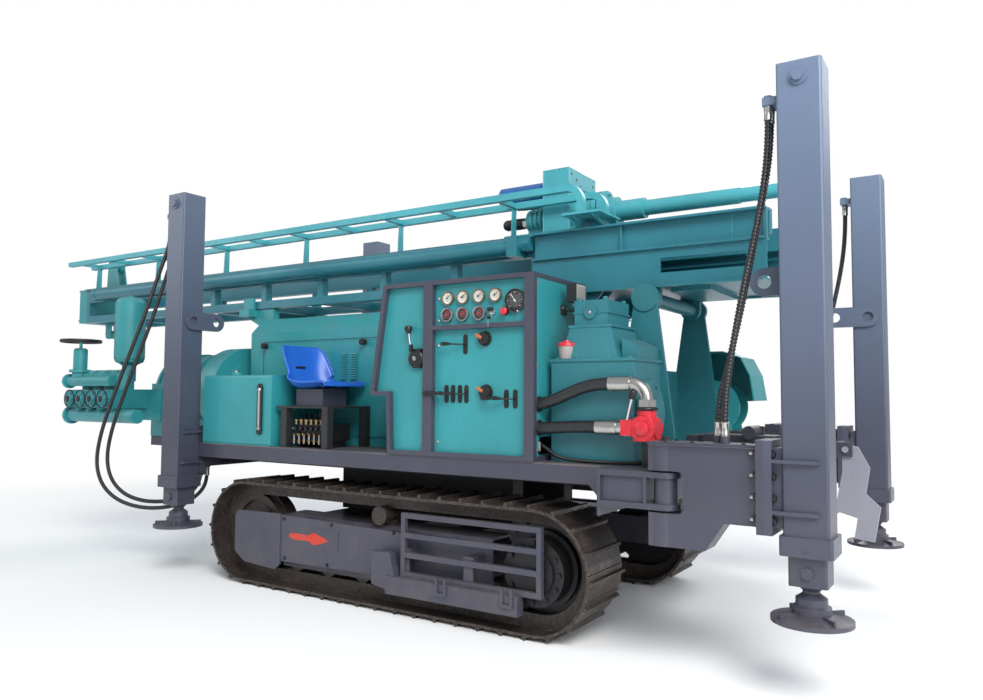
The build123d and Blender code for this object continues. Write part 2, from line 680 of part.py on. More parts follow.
# Legs. Columns: label, X of the leg, sign of Y, whether it hangs on a swing arm
LEGS = (
    ("left_near", LEG_LEFT_X, -1, False),
    ("left_far", LEG_LEFT_X, 1, False),
    ("right_near", LEG_RIGHT_X, -1, True),
    ("right_far", LEG_RIGHT_X, 1, True),
)
RIBS = (RIB_LOW, RIB_LOW + RIB_STEP)
ARM_RIGHT = LEG_RIGHT_X - LEG_TUBE / 2 - NECK - FLANGE
for label, leg_x, s, swings in LEGS:
    leg_y = s * LEG_Y
    half = LEG_TUBE / 2
    collar_top = LEG_BOTTOM + COLLAR_HEIGHT
    with BuildPart() as leg_tube:
        pillar(leg_x, leg_y, LEG_TUBE, (LEG_BOTTOM, TUBE_TOP), LEG_CORNER)
        pillar(leg_x, leg_y, COLLAR_WIDTH, (LEG_BOTTOM, collar_top), LEG_CORNER)
        bore = LEG_TUBE - 2 * LEG_WALL
        pillar(leg_x, leg_y, bore, (collar_top, TUBE_TOP - LEG_WALL), LEG_CORNER / 2, mode=Mode.SUBTRACT)
        fit = INNER_TUBE + 2 * FIT
        pillar(leg_x, leg_y, fit, (LEG_BOTTOM, collar_top), LEG_CORNER / 2, mode=Mode.SUBTRACT)
        out_y = leg_y + s * half
        round_y(leg_x, TOP_PIN_Z, 36, (out_y - s * 2, out_y + s * 9))
        hex_y(leg_x, TOP_PIN_Z, 24, (out_y + s * 9, out_y + s * 23))
        # Lifting eye
        eye_y = (leg_y - 7, leg_y + 7)
        block((leg_x - LEG_EYE, leg_x + LEG_EYE), eye_y, (TUBE_TOP - 2, TUBE_TOP + 4))
        round_y(leg_x, LEG_TOP - LEG_EYE, LEG_EYE, eye_y)
        round_y(leg_x, LEG_TOP - LEG_EYE + 3, LEG_EYE - 10, eye_y, mode=Mode.SUBTRACT)
        if swings or s < 0:
            fitting_x = (leg_x - half - HOSE_STEP - 20, leg_x - half)
            block(fitting_x, (leg_y - 47, leg_y + 47), (HOSE_TOP, HOSE_TOP + HOSE_FITTING))
            for y in (leg_y - HOSE_SPACING, leg_y + HOSE_SPACING):
                hex_z(fitting_x[0] + 20, y, 20, (HOSE_TOP + HOSE_FITTING, HOSE_TOP + HOSE_FITTING + 10))
        if swings:
            eye_y = (leg_y - s * half, leg_y - s * (half + EYE_PLATE))
            eyes = (leg_x, leg_x - EYE_SPAN)
            block((eyes[1], eyes[0]), eye_y, (EYE_Z - EYE_RADIUS, EYE_Z + EYE_RADIUS))
            for x in eyes:
                round_y(x, EYE_Z, EYE_RADIUS, eye_y)
                round_y(x, EYE_Z, EYE_HOLE, eye_y, mode=Mode.SUBTRACT)
            flange_x = (ARM_RIGHT, ARM_RIGHT + FLANGE)
            block(flange_x, (leg_y - FLANGE_HALF, leg_y + FLANGE_HALF), (FLANGE_LOW, FLANGE_HIGH))
            neck_z = (FLANGE_LOW + 30, FLANGE_HIGH - 30)
            block((flange_x[1], leg_x - half), (leg_y - NECK_HALF, leg_y + NECK_HALF), neck_z)
            for z in RIBS:
                rib = (
                    (flange_x[1], out_y),
                    (leg_x + 60, out_y),
                    (leg_x + 52, out_y + s * RIB_DEPTH),
                    (leg_x - half, out_y + s * RIB_DEPTH),
                    (flange_x[1], leg_y + s * FLANGE_HALF),
                )
                plate_xy(rib, (z, z + RIB_THICKNESS))
        else:
            eye_x = (leg_x + half, leg_x + half + EYE_PLATE)
            eyes = (leg_y, leg_y - s * EYE_SPAN)
            block(eye_x, (eyes[1], eyes[0]), (EYE_Z - EYE_RADIUS, EYE_Z + EYE_RADIUS))
            for y in eyes:
                round_x(y, EYE_Z, EYE_RADIUS, eye_x)
                round_x(y, EYE_Z, EYE_HOLE, eye_x, mode=Mode.SUBTRACT)
            flange_y = (leg_y - s * half, leg_y - s * (half + FLANGE))
            flange_z = (FLANGE_LOW + 12, 1020)
            block((leg_x - FLANGE_HALF, leg_x + FLANGE_HALF - 20), flange_y, flange_z)
            for z in RIBS:
                rib = (
                    (leg_x + half, leg_y + s * 60),
                    (leg_x + half + RIB_DEPTH, leg_y + s * 52),
                    (leg_x + half + RIB_DEPTH, leg_y - s * half),
                    (leg_x + half - LEG_WALL + 1, leg_y - s * half),
                    (leg_x + half - LEG_WALL + 1, leg_y + s * 60),
                )
                plate_xy(rib, (z, z + RIB_THICKNESS))
    save(leg_tube.part, f"leg_tube_{label}")

    # Inner tube that runs down out of the leg, with its foot pad
    with BuildPart() as leg_inner:
        half = INNER_TUBE / 2
        pillar(leg_x, leg_y, INNER_TUBE, (INNER_BOTTOM, INNER_TOP), LEG_CORNER)
        bore = INNER_TUBE - 2 * INNER_WALL
        pillar(leg_x, leg_y, bore, (INNER_BOTTOM + 20, INNER_TOP), LEG_CORNER / 2, mode=Mode.SUBTRACT)
        out_y = leg_y + s * half
        round_y(leg_x, INNER_BOTTOM + 55, 24, (out_y, out_y + s * 12))
        foot = (
            (0, PAD_Z),
            (PAD_RADIUS, PAD_Z),
            (PAD_RADIUS, PAD_Z + PAD_RIM),
            (PAD_CUP + 28, PAD_Z + PAD_RIM + 14),
            (PAD_CUP + 14, PAD_Z + PAD_RIM + 18),
            (PAD_CUP + 14, PAD_Z + PAD_RIM + 46),
            (PAD_CUP, PAD_Z + PAD_RIM + 52),
            (PAD_CUP, PAD_Z + PAD_RIM + 80),
            (STUD_RADIUS + 10, PAD_Z + PAD_RIM + 92),
            (STUD_RADIUS, PAD_Z + PAD_RIM + 100),
            (STUD_RADIUS, INNER_BOTTOM - 24),
            (STUD_RADIUS + 24, INNER_BOTTOM),
            (0, INNER_BOTTOM),
        )
        turned(foot, leg_x, leg_y)
        for i in range(4):
            angle = math.radians(45 + 90 * i)
            far_x = leg_x + math.cos(angle) * (PAD_RADIUS - 12)
            far_y = leg_y + math.sin(angle) * (PAD_RADIUS - 12)
            near_x = leg_x + math.cos(angle) * PAD_CUP
            near_y = leg_y + math.sin(angle) * PAD_CUP
            side_x = -math.sin(angle) * 5
            side_y = math.cos(angle) * 5
            web = (
                (near_x + side_x, near_y + side_y),
                (far_x + side_x, far_y + side_y),
                (far_x - side_x, far_y - side_y),
                (near_x - side_x, near_y - side_y),
            )
            plate_xy(web, (PAD_Z + PAD_RIM - 4, PAD_Z + PAD_RIM + 22))
    save(leg_inner.part, f"leg_inner_{label}")

# Where the hoses end on an arm: X and distance outside the leg's middle
ARM_GLANDS = ((2930, HOSE_SPACING), (2886, -HOSE_SPACING))

# Swing arms: a notched box beam with a lid plate, reaching round the tail frame's hinge plates
for side, s in SIDES:
    arm_y = (s * LEG_Y - ARM_HALF, s * LEG_Y + ARM_HALF)
    arm_end = ARM_RIGHT - FLANGE
    outline = (
        (ARM_LEFT, ARM_HIGH),
        (arm_end, ARM_HIGH),
        (arm_end, ARM_UNDER),
        (ARM_KNEE, ARM_UNDER),
        (ARM_HEEL, ARM_LOW),
        (ARM_LEFT, ARM_LOW),
    )
    with BuildPart() as swing_arm:
        plate_xz(outline, arm_y)
        for z in ((ARM_LOW, NOTCH_LOW), (NOTCH_HIGH, ARM_HIGH)):
            round_z(HINGE_X, s * LEG_Y, JAW_BARREL, z)
        lid_y = (s * LEG_Y - ARM_HALF - 10, s * LEG_Y + ARM_HALF + 10)
        block((ARM_LEFT, arm_end), lid_y, (ARM_HIGH, ARM_HIGH + ARM_LID))
        for x, y in ARM_GLANDS:
            gland_z = (ARM_HIGH + ARM_LID, ARM_HIGH + ARM_LID + GLAND_HEIGHT)
            round_z(x, s * (LEG_Y + y), GLAND_RADIUS, gland_z)
        with BuildSketch(Plane.XZ.offset(-s * LEG_Y - 2 * ARM_HALF)) as notch:
            with Locations(((ARM_LEFT + NOTCH_X) / 2 - 100, (NOTCH_LOW + NOTCH_HIGH) / 2)):
                RectangleRounded(NOTCH_X - ARM_LEFT + 200, NOTCH_HIGH - NOTCH_LOW, NOTCH_CORNER)
        extrude(notch.sketch, amount=4 * ARM_HALF, both=True, mode=Mode.SUBTRACT)
        flange_y = (s * LEG_Y - FLANGE_HALF, s * LEG_Y + FLANGE_HALF)
        block((arm_end, ARM_RIGHT), flange_y, (FLANGE_LOW, FLANGE_HIGH))
        bore_z = (ARM_LOW - 1, ARM_HIGH + ARM_LID + 1)
        round_z(HINGE_X, s * LEG_Y, HINGE_PIN + FIT, bore_z, mode=Mode.SUBTRACT)
    save(swing_arm.part, f"swing_arm_{side}")

# Hydraulic tank with a sight glass and a filler cap
with BuildPart() as tank:
    block((TANK_LEFT, TANK_RIGHT), (-DECK_HALF, -HOOD_HALF - 12), (DECK_Z, DECK_Z + TANK_HEIGHT))
    fillet(tank.edges().filter_by(Axis.X), TANK_CORNER)
    cap_x = TANK_LEFT + 150
    cap_y = -DECK_HALF + 150
    round_z(cap_x, cap_y, 48, (DECK_Z + TANK_HEIGHT - 1, DECK_Z + TANK_HEIGHT + 24))
    glass_x = TANK_RIGHT - 102
    with BuildSketch(Plane.XZ.offset(DECK_HALF)) as glass:
        with Locations((glass_x, DECK_Z + 245)):
            SlotOverall(300, 30, rotation=90)
    extrude(glass.sketch, amount=14)
save(tank.part, "tank")


def hood_outline(inset):
    """Cross section of the hood, drawn an inset inside its outer face."""
    half = HOOD_HALF - inset
    top = HOOD_TOP - inset
    return (
        (-half, DECK_Z),
        (-half, top - HOOD_CHAMFER),
        (-half + HOOD_CHAMFER, top),
        (half - HOOD_CHAMFER, top),
        (half, top - HOOD_CHAMFER),
        (half, DECK_Z),
    )


# Engine hood: bent sheet with an open bottom and a row of louvers on the near side
with BuildPart() as engine_hood:
    plate_yz(hood_outline(0), (HOOD_LEFT, HOOD_RIGHT))
    cut_x = (HOOD_LEFT + HOOD_SHEET, HOOD_RIGHT - HOOD_SHEET)
    plate_yz(hood_outline(HOOD_SHEET), cut_x, mode=Mode.SUBTRACT)
    for s in (-1, 1):
        face_y = (s * HOOD_HALF, s * (HOOD_HALF + 2))
        door_top = HOOD_TOP - HOOD_CHAMFER - 70
        block((HOOD_LEFT + 150, HOOD_RIGHT - 50), face_y, (DECK_Z + 60, door_top))
        for x in (HOOD_LEFT + 182, HOOD_RIGHT - 412):
            round_y(x, door_top - 30, 14, (s * (HOOD_HALF + 2), s * (HOOD_HALF + 12)))
save(engine_hood.part, "engine_hood")

# Engine and pump drive under the hood, one plain block
with BuildPart() as engine_block:
    block((HOOD_LEFT + 120, HOOD_RIGHT - 350), (-300, 300), (DECK_Z, 1560))
save(engine_block.part, "engine_block")

# Belt guard: a wide round housing with a raised disc, and the shaft through it to the pump
with BuildPart() as belt_guard:
    round_x(DRUM_Y, DRUM_Z, DRUM_RADIUS, (DRUM_LEFT, DRUM_RIGHT))
    block((DRUM_LEFT, DRUM_RIGHT), (DRUM_Y - 120, DRUM_Y + 120), (DECK_Z, DRUM_Z - DRUM_RADIUS + 20))
    round_x(DRUM_Y, DRUM_Z, DRUM_RADIUS - 110, (DRUM_RIGHT, DRUM_RIGHT + 28))
    round_x(DRUM_Y, DRUM_Z, 60, (DRUM_RIGHT + 28, HOOD_LEFT))
    round_x(DRUM_Y, DRUM_Z, 55, (PUMP_RIGHT, DRUM_LEFT))
    round_x(DRUM_Y, DRUM_Z, 95, (PUMP_RIGHT + 150, PUMP_RIGHT + 230))
save(belt_guard.part, "belt_guard")

# Seat: a one-piece bucket shell on its mount box
SEAT_OUTER = (
    (20, SEAT_BASE),
    (372, SEAT_BASE),
    (420, SEAT_BASE + 42),
    (420, SEAT_BASE + 76),
    (330, SEAT_BASE + 96),
    (150, SEAT_BASE + 150),
    (62, SEAT_BASE + SEAT_RISE),
    (14, SEAT_BASE + SEAT_RISE),
    (-10, SEAT_BASE + 60),
)
SEAT_INNER = (
    (60, SEAT_BASE + SEAT_SHELL + 6),
    (340, SEAT_BASE + SEAT_SHELL + 6),
    (430, SEAT_BASE + 62),
    (430, SEAT_BASE + SEAT_RISE + 20),
    (48, SEAT_BASE + SEAT_RISE + 20),
    (34, SEAT_BASE + SEAT_RISE - 20),
    (18, SEAT_BASE + 80),
)
with BuildPart() as seat:
    plate_xz(SEAT_OUTER, (SEAT_NEAR, SEAT_FAR))
    plate_xz(SEAT_INNER, (SEAT_NEAR + 26, SEAT_FAR - 26), mode=Mode.SUBTRACT)
    block((95, 330), (SEAT_NEAR + 90, SEAT_FAR - 90), (1168, SEAT_BASE))
save(seat.part, "seat")

with BuildPart() as seat_stand:
    block((-5, 456), (SEAT_NEAR + 10, SEAT_FAR), (1156, 1168))
    for x in (45, 456 - 50):
        for y in (SEAT_NEAR + 10, SEAT_FAR - 50):
            block((x, x + 50), (y, y + 50), (DECK_Z, 1156))
save(seat_stand.part, "seat_stand")

# Valve bank under the seat: a block of sections with ports and levers
with BuildPart() as valve_bank:
    valve_near = SEAT_NEAR + 70
    for i in range(6):
        x = 118 + i * 46
        block((x, x + 42), (valve_near, valve_near + 210), (DECK_Z + 40, DECK_Z + 150))
        round_y(x + 21, DECK_Z + 78, 13, (valve_near - 34, valve_near))
        round_y(x + 21, DECK_Z + 122, 13, (valve_near - 26, valve_near))
        block((x + 15, x + 27), (valve_near + 60, valve_near + 72), (DECK_Z + 150, DECK_Z + 215))
    block((118, 118 + 5 * 46 + 42), (valve_near + 20, valve_near + 190), (DECK_Z + 52, DECK_Z + 138))
    for x in (124, 354):
        block((x, x + 20), (valve_near + 20, valve_near + 190), (DECK_Z, DECK_Z + 40))
save(valve_bank.part, "valve_bank")

# Control cabinet
CABINET_OUTLINE = (
    (912, CABINET_TOP),
    (868, 1571),
    (823, 1271),
    (823, 1240),
    (943, 1240),
    (955, DECK_Z),
    (CABINET_RIGHT, DECK_Z),
    (CABINET_RIGHT, CABINET_TOP),
)
t = CABINET_TUBE
CABINET_INNER = (
    (912 + t, CABINET_TOP - t),
    (868 + t, 1571),
    (823 + t + 2, 1240 + t),
    (943 + t, 1240 + t),
    (955 + t, DECK_Z + t),
    (CABINET_RIGHT - t, DECK_Z + t),
    (CABINET_RIGHT - t, CABINET_TOP - t),
)
front = (CABINET_FRONT, CABINET_FRONT + PANEL_RECESS)
with BuildPart() as cabinet_frame:
    for near, far in (front, (CABINET_BACK - t, CABINET_BACK)):
        plate_xz(CABINET_OUTLINE, (near, far))
        plate_xz(CABINET_INNER, (near, far), mode=Mode.SUBTRACT)
    block((1208, 1272), front, (DECK_Z + t, CABINET_TOP - t))
    block((CABINET_RIGHT - 57, CABINET_RIGHT - t), front, (DECK_Z + t, CABINET_TOP - t))
    block((1272, CABINET_RIGHT - 57), front, (1605, 1630))
    block((CABINET_RIGHT - t, CABINET_RIGHT), (front[1], CABINET_BACK - t), (CABINET_TOP - t, CABINET_TOP))
    block((912, 912 + t), (front[1], CABINET_BACK - t), (CABINET_TOP - t, CABINET_TOP))
    block((955, 955 + t), (front[1], CABINET_BACK - t), (DECK_Z, DECK_Z + t))
    block((CABINET_RIGHT - t, CABINET_RIGHT), (front[1], CABINET_BACK - t), (DECK_Z, DECK_Z + t))
save(cabinet_frame.part, "cabinet_frame")

with BuildPart() as cabinet_panels:
    face = (front[1], front[1] + CABINET_SHEET)
    back = (CABINET_BACK - t - CABINET_SHEET, CABINET_BACK - t)
    plate_xz(CABINET_INNER, face)
    plate_xz(CABINET_INNER, back)
    wrap = (face[1], back[0])
    sheet = CABINET_SHEET
    plate_xz(CABINET_INNER, wrap)
    inner = (
        (912 + t + sheet, CABINET_TOP - t - sheet),
        (868 + t + sheet, 1571),
        (823 + t + sheet + 3, 1240 + t + sheet),
        (943 + t + sheet, 1240 + t + sheet),
        (955 + t + sheet, DECK_Z + t + sheet),
        (CABINET_RIGHT - t - sheet, DECK_Z + t + sheet),
        (CABINET_RIGHT - t - sheet, CABINET_TOP - t - sheet),
    )
    plate_xz(inner, wrap, mode=Mode.SUBTRACT)
    # Side and top skins that stand flush with the frame's outer faces
    side_x = (CABINET_RIGHT - t, CABINET_RIGHT - 3)
    block(side_x, (front[1], CABINET_BACK - t), (DECK_Z + t, CABINET_TOP - t))
    block((912 + t, CABINET_RIGHT - t), (front[1], CABINET_BACK - t), (CABINET_TOP - t, CABINET_TOP - 3))
    hatch = (CABINET_RIGHT - t - sheet - 1, CABINET_RIGHT)
    block(hatch, (CABINET_FRONT + 58, CABINET_BACK - 140), (DECK_Z + t, 1000), mode=Mode.SUBTRACT)
    with BuildSketch(Plane.YZ.offset(hatch[0])) as arch:
        with Locations(((CABINET_FRONT + 58 + CABINET_BACK - 140) / 2, 1000)):
            SlotOverall(CABINET_BACK - 140 - CABINET_FRONT - 58, 60)
    extrude(arch.sketch, amount=hatch[1] - hatch[0], mode=Mode.SUBTRACT)
save(cabinet_panels.part, "cabinet_panels")

# Gauges: X, Z and bezel radius
GAUGES = (
    (1363, 1781, 38),
    (1464, 1781, 38),
    (1570, 1781, 38),
    (1676, 1781, 38),
    (1801, 1744, 62),
    (1360, 1688, 38),
    (1465, 1688, 38),
    (1574, 1688, 38),
)
with BuildPart() as gauges:
    for x, z, radius in GAUGES:
        round_y(x, z, radius, (front[1] - 22, front[1]))
        round_y(x, z, radius - 5, (front[1] - 23, front[1] - 17), mode=Mode.SUBTRACT)
save(gauges.part, "gauges")

# Lamp on the cabinet's right side: a square lamp on a bent bracket
with BuildPart() as lamp:
    lamp_y = CABINET_BACK - 150
    block((CABINET_RIGHT - 3, CABINET_RIGHT + 8), (lamp_y - 30, lamp_y + 30), (1690, 1740))
    block((CABINET_RIGHT + 8, CABINET_RIGHT + 90), (lamp_y - 18, lamp_y + 18), (1706, 1714))
    block((CABINET_RIGHT + 82, CABINET_RIGHT + 90), (lamp_y - 18, lamp_y + 18), (1714, 1750))
    block((CABINET_RIGHT + 50, CABINET_RIGHT + 110), (lamp_y - 60, lamp_y + 60), (1750, 1850))
save(lamp.part, "work_lamp")

# Transfer gearbox: a cast tower with flanged joints, a bearing cap and a round side cover
with BuildPart() as gearbox:
    near_y = -DECK_HALF + 120
    far_y = near_y + 372
    block((GEARBOX_LEFT, GEARBOX_RIGHT), (near_y, far_y), (DECK_Z, GEARBOX_TOP))
    block((GEARBOX_LEFT - 8, GEARBOX_RIGHT + 8), (near_y - 8, far_y), (GEARBOX_TOP, GEARBOX_TOP + 14))
    with BuildSketch(Plane.XY.offset(GEARBOX_TOP + 14)) as foot:
        with Locations((2170, (near_y + far_y) / 2)):
            Rectangle(320, 360)
    with BuildSketch(Plane.XY.offset(GEARBOX_NECK)) as head_end:
        with Locations((2165, (near_y + far_y) / 2)):
            Rectangle(232, 300)
    loft((foot.sketch.faces()[0], head_end.sketch.faces()[0]))
    block((2042, 2290), (near_y + 32, far_y - 32), (GEARBOX_NECK, GEARBOX_NECK + 14))
    block((2069, 2258), (near_y + 50, far_y - 50), (GEARBOX_NECK + 14, GEARBOX_CAP))
    block((2062, 2265), (near_y + 46, far_y - 46), (GEARBOX_NECK + 74, GEARBOX_NECK + 82))
    round_y(2163, GEARBOX_NECK + 78, 34, (near_y + 36, near_y + 50))
    for x in (2090, 2236):
        for y in (near_y + 70, far_y - 70):
            round_z(x, y, 14, (GEARBOX_CAP, GEARBOX_CAP + 16))
    round_x((near_y + far_y) / 2, DECK_Z + 250, 172, (GEARBOX_RIGHT, GEARBOX_RIGHT + 22))
    round_x((near_y + far_y) / 2, DECK_Z + 250, 80, (GEARBOX_RIGHT + 22, GEARBOX_RIGHT + 60))
    shaft_cover = ((2330, GEARBOX_TOP + 14), (2412, GEARBOX_TOP + 14), (2412, 1500), (2330, 1540))
    plate_xz(shaft_cover, (near_y + 60, far_y - 20))
save(gearbox.part, "transfer_gearbox")

# Red valve beside the gearbox, on its bracket
VALVE_X = 2508
VALVE_Y = -DECK_HALF + 60
VALVE_Z = 1090
with BuildPart() as red_valve:
    round_x(VALVE_Y, VALVE_Z, 52, (VALVE_X - 60, VALVE_X + 60))
    round_z(VALVE_X, VALVE_Y, 46, (VALVE_Z, VALVE_Z + 92))
    for y in (-62, 50):
        round_y(VALVE_X, VALVE_Z, 60, (VALVE_Y + y, VALVE_Y + y + 12))
    block((VALVE_X - 50, VALVE_X + 50), (VALVE_Y - 50, VALVE_Y + 50), (VALVE_Z - 62, VALVE_Z - 30))
    block((VALVE_X - 14, VALVE_X + 14), (VALVE_Y - 14, VALVE_Y + 14), (DECK_Z, VALVE_Z - 62))
save(red_valve.part, "red_valve")

# Pipe fittings of the red valve: straight coupling at its left and an elbow on top
with BuildPart() as valve_fittings:
    round_x(VALVE_Y, VALVE_Z, 34, (VALVE_X - 150, VALVE_X - 60))
    hex_x(VALVE_Y, VALVE_Z, 46, (VALVE_X - 110, VALVE_X - 68))
    round_x(VALVE_Y, VALVE_Z, 38, (VALVE_X - 260, VALVE_X - 150))
    hex_z(VALVE_X, VALVE_Y, 46, (VALVE_Z + 92, VALVE_Z + 136))
    with BuildSketch(Plane.XY.offset(VALVE_Z + 136)) as pipe:
        with Locations((VALVE_X, VALVE_Y)):
            Circle(32)
    revolve(pipe.sketch, axis=Axis((VALVE_X - 78, VALVE_Y, VALVE_Z + 136), (0, -1, 0)), revolution_arc=90)
    round_x(VALVE_Y, VALVE_Z + 214, 38, (VALVE_X - 190, VALVE_X - 78))
save(valve_fittings.part, "valve_fittings")

# Mast tower: two braced plates either side of the mast with the pivot pin between them
with BuildPart() as mast_tower:
    for s in (-1, 1):
        y = (s * TOWER_IN, s * (TOWER_IN + TOWER_PLATE))
        lug_xz(PIVOT_X, PIVOT_Z, PIVOT_BOSS, (PIVOT_X - 190, DECK_RIGHT + 160), DECK_Z, y)
        round_y(PIVOT_X, PIVOT_Z, PIVOT_BOSS + 14, (y[0], y[1] + s * 10))
    round_y(PIVOT_X, PIVOT_Z, PIVOT_PIN, (-TOWER_IN, TOWER_IN))
    block((PIVOT_X - 120, PIVOT_X - 108), (-TOWER_IN, TOWER_IN), (DECK_Z, 1400))
    # Feet of the lift cylinders
    for s in (-1, 1):
        for face in (-1, 1):
            inner = s * LIFT_Y + face * (LIFT_EYE_WIDTH / 2 + GAP)
            lug_xz(LIFT_X, LIFT_Z, 40, (LIFT_X - 95, LIFT_X + 95), DECK_Z, (inner, inner + face * 18))
        pin = (s * LIFT_Y - LIFT_EYE_WIDTH / 2 - GAP, s * LIFT_Y + LIFT_EYE_WIDTH / 2 + GAP)
        round_y(LIFT_X, LIFT_Z, LIFT_PIN, pin)
save(mast_tower.part, "mast_tower")

# Mast rest at the left-hand end of the hood: a portal with a saddle under the mast
REST_LEFT = -1035
REST_RIGHT = -926
REST_IN = 230
REST_POST = 60
with BuildPart() as mast_rest:
    post_x = (HOOD_LEFT - 64, HOOD_LEFT - GAP)
    for s in (-1, 1):
        y = (s * REST_IN, s * (REST_IN + REST_POST))
        block(post_x, y, (DECK_Z, CHORD_Z - GAP))
        arm = ((REST_LEFT, CHORD_Z - 60), (REST_LEFT, CHORD_Z - GAP), (post_x[0], CHORD_Z - GAP), (post_x[0], CHORD_Z - 180))
        plate_xz(arm, y)
    wide = REST_IN + REST_POST + 80
    block((REST_LEFT, REST_RIGHT), (-wide, wide), (CHORD_Z - 60, CHORD_Z - GAP))
    for s in (-1, 1):
        ear = (s * (MAST_HALF + GAP), s * (MAST_HALF + GAP + 24))
        block((REST_LEFT, REST_RIGHT), ear, (CHORD_Z - GAP, CHORD_Z + 84))
save(mast_rest.part, "mast_rest")

# Mast: two side trusses, cross members and a deep lower box at the drilling end
WEB = CRADLE_HALF - CRADLE_WALL
post_pitch = (CRADLE_LEFT - MAST_LEFT - POST_WIDTH) / (POST_COUNT - 1)
with BuildPart() as mast_beam:
    for s in (-1, 1):
        rail = (s * (MAST_HALF - TUBE_WIDTH), s * MAST_HALF)
        block((MAST_LEFT, MAST_RIGHT), rail, (MAST_TOP - TUBE_HEIGHT, MAST_TOP))
        block((MAST_LEFT, CRADLE_LEFT), rail, (CHORD_Z, CHORD_TOP))
        block((MAST_LEFT, CRADLE_LEFT), (rail[1], rail[1] + s * 24), (MAST_TOP - 12, MAST_TOP))
        for i in range(POST_COUNT):
            x = MAST_LEFT + i * post_pitch
            block((x, x + POST_WIDTH), rail, (CHORD_TOP, MAST_TOP - TUBE_HEIGHT))
        # Drilling end: an upper channel over a deep side plate with flanges
        upper = (s * (WEB - 26), s * (WEB - 12))
        block((CRADLE_LEFT, MAST_RIGHT), upper, (MAST_TOP - 160, MAST_TOP - 20))
        for z, start in ((MAST_TOP - 20, MAST_HALF), (MAST_TOP - 174, MAST_HALF + GAP)):
            block((CRADLE_LEFT, MAST_RIGHT), (s * start, s * CRADLE_HALF), (z, z + 14))
        block((CRADLE_LEFT, MAST_RIGHT), (s * WEB, s * CRADLE_HALF), (CRADLE_Z, MAST_TOP - 174))
        window = (s * (WEB - 5), s * (CRADLE_HALF + 5))
        block((WINDOW_LEFT, WINDOW_RIGHT), window, (WINDOW_LOW, WINDOW_HIGH), mode=Mode.SUBTRACT)
        lip = (s * WEB, s * (CRADLE_HALF + BEAM_FLANGE))
        block((CRADLE_LEFT, MAST_RIGHT - 20), lip, (CRADLE_Z - 12, CRADLE_Z))
        for x in (CRADLE_LEFT + 560, MAST_RIGHT - 14):
            block((x, x + 14), (s * (WEB - 12), s * (CRADLE_HALF - 4)), (MAST_TOP - 160, MAST_TOP - 20))
    for i in range(POST_COUNT):
        x = MAST_LEFT + i * post_pitch
        cross = MAST_HALF - TUBE_WIDTH
        block((x, x + POST_WIDTH), (-cross, cross), (CHORD_Z, CHORD_TOP))
    block((CRADLE_LEFT, MAST_RIGHT - 20), (-WEB, WEB), (CRADLE_Z, CRADLE_Z + CRADLE_WALL))
    block((CRADLE_LEFT, CRADLE_LEFT + 14), (-WEB, WEB), (CRADLE_Z + CRADLE_WALL, CHORD_TOP))
save(mast_beam.part, "mast_beam")

# Lugs under the mast: round the pivot pin and beside the lift rods' eyes
LIP_Z = CRADLE_Z - 12
with BuildPart() as mast_lugs:
    for s in (-1, 1):
        y = (s * (WEB - 32), s * WEB)
        block((PIVOT_X - PIVOT_BOSS, PIVOT_X + PIVOT_BOSS), y, (PIVOT_Z, CRADLE_Z))
        round_y(PIVOT_X, PIVOT_Z, PIVOT_BOSS, y)
        round_y(PIVOT_X, PIVOT_Z, PIVOT_PIN + FIT, y, mode=Mode.SUBTRACT)
        for face in (-1, 1):
            inner = s * LIFT_Y + face * (LIFT_EYE_WIDTH / 2 + GAP)
            wall = (inner, inner + face * 16)
            lug_xz(LIFT_EYE_X, LIFT_EYE_Z, 46, (LIFT_EYE_X - 105, LIFT_EYE_X + 105), CRADLE_Z, wall)
            round_y(LIFT_EYE_X, LIFT_EYE_Z, LIFT_PIN, (inner - face * (GAP - FIT), inner))
    block((PIVOT_X + 90, MAST_RIGHT - 320), (-260, 260), (CRADLE_Z - 26, CRADLE_Z))
save(mast_lugs.part, "mast_lugs")

# Crown at the mast's far end: flanged box, upper lug for the sheave and a lower pulley block
CROWN_LEFT = MAST_LEFT - CROWN_LENGTH
SHEAVE_X = MAST_LEFT - 25
SHEAVE_Z = MAST_TOP + 280
with BuildPart() as crown:
    block((CROWN_LEFT, MAST_LEFT), (-MAST_HALF, MAST_HALF), (CHORD_Z, MAST_TOP))
    block((CROWN_LEFT - 1, MAST_LEFT - 14), (-MAST_HALF + 14, MAST_HALF - 14), (CHORD_Z + 14, MAST_TOP - 14), mode=Mode.SUBTRACT)
    for z in (CHORD_Z + 20, MAST_TOP - 14):
        block((CROWN_LEFT - 15, CROWN_LEFT + 10), (-MAST_HALF, MAST_HALF), (z, z + 14))
    for s in (-1, 1):
        cheek = (s * (SHEAVE_HALF + GAP), s * (SHEAVE_HALF + GAP + 14))
        lug_xz(SHEAVE_X, SHEAVE_Z, 62, (SHEAVE_X - 80, SHEAVE_X + 130), MAST_TOP, cheek)
        block((CROWN_LEFT + 20, MAST_LEFT - 14), cheek, (CHORD_Z - 90, CHORD_Z))
        round_y((CROWN_LEFT + MAST_LEFT) / 2 + 3, CHORD_Z - 90, 43, cheek)
    round_y(SHEAVE_X, SHEAVE_Z, SHEAVE_PIN, (-SHEAVE_HALF - GAP - 14, SHEAVE_HALF + GAP + 14))
    round_y((CROWN_LEFT + MAST_LEFT) / 2 + 3, CHORD_Z - 90, 40, (-SHEAVE_HALF - GAP, SHEAVE_HALF + GAP))
    block((MAST_LEFT, SHEAVE_X + 130), (-MAST_HALF + TUBE_WIDTH, MAST_HALF - TUBE_WIDTH), (MAST_TOP - 14, MAST_TOP))
save(crown.part, "crown")

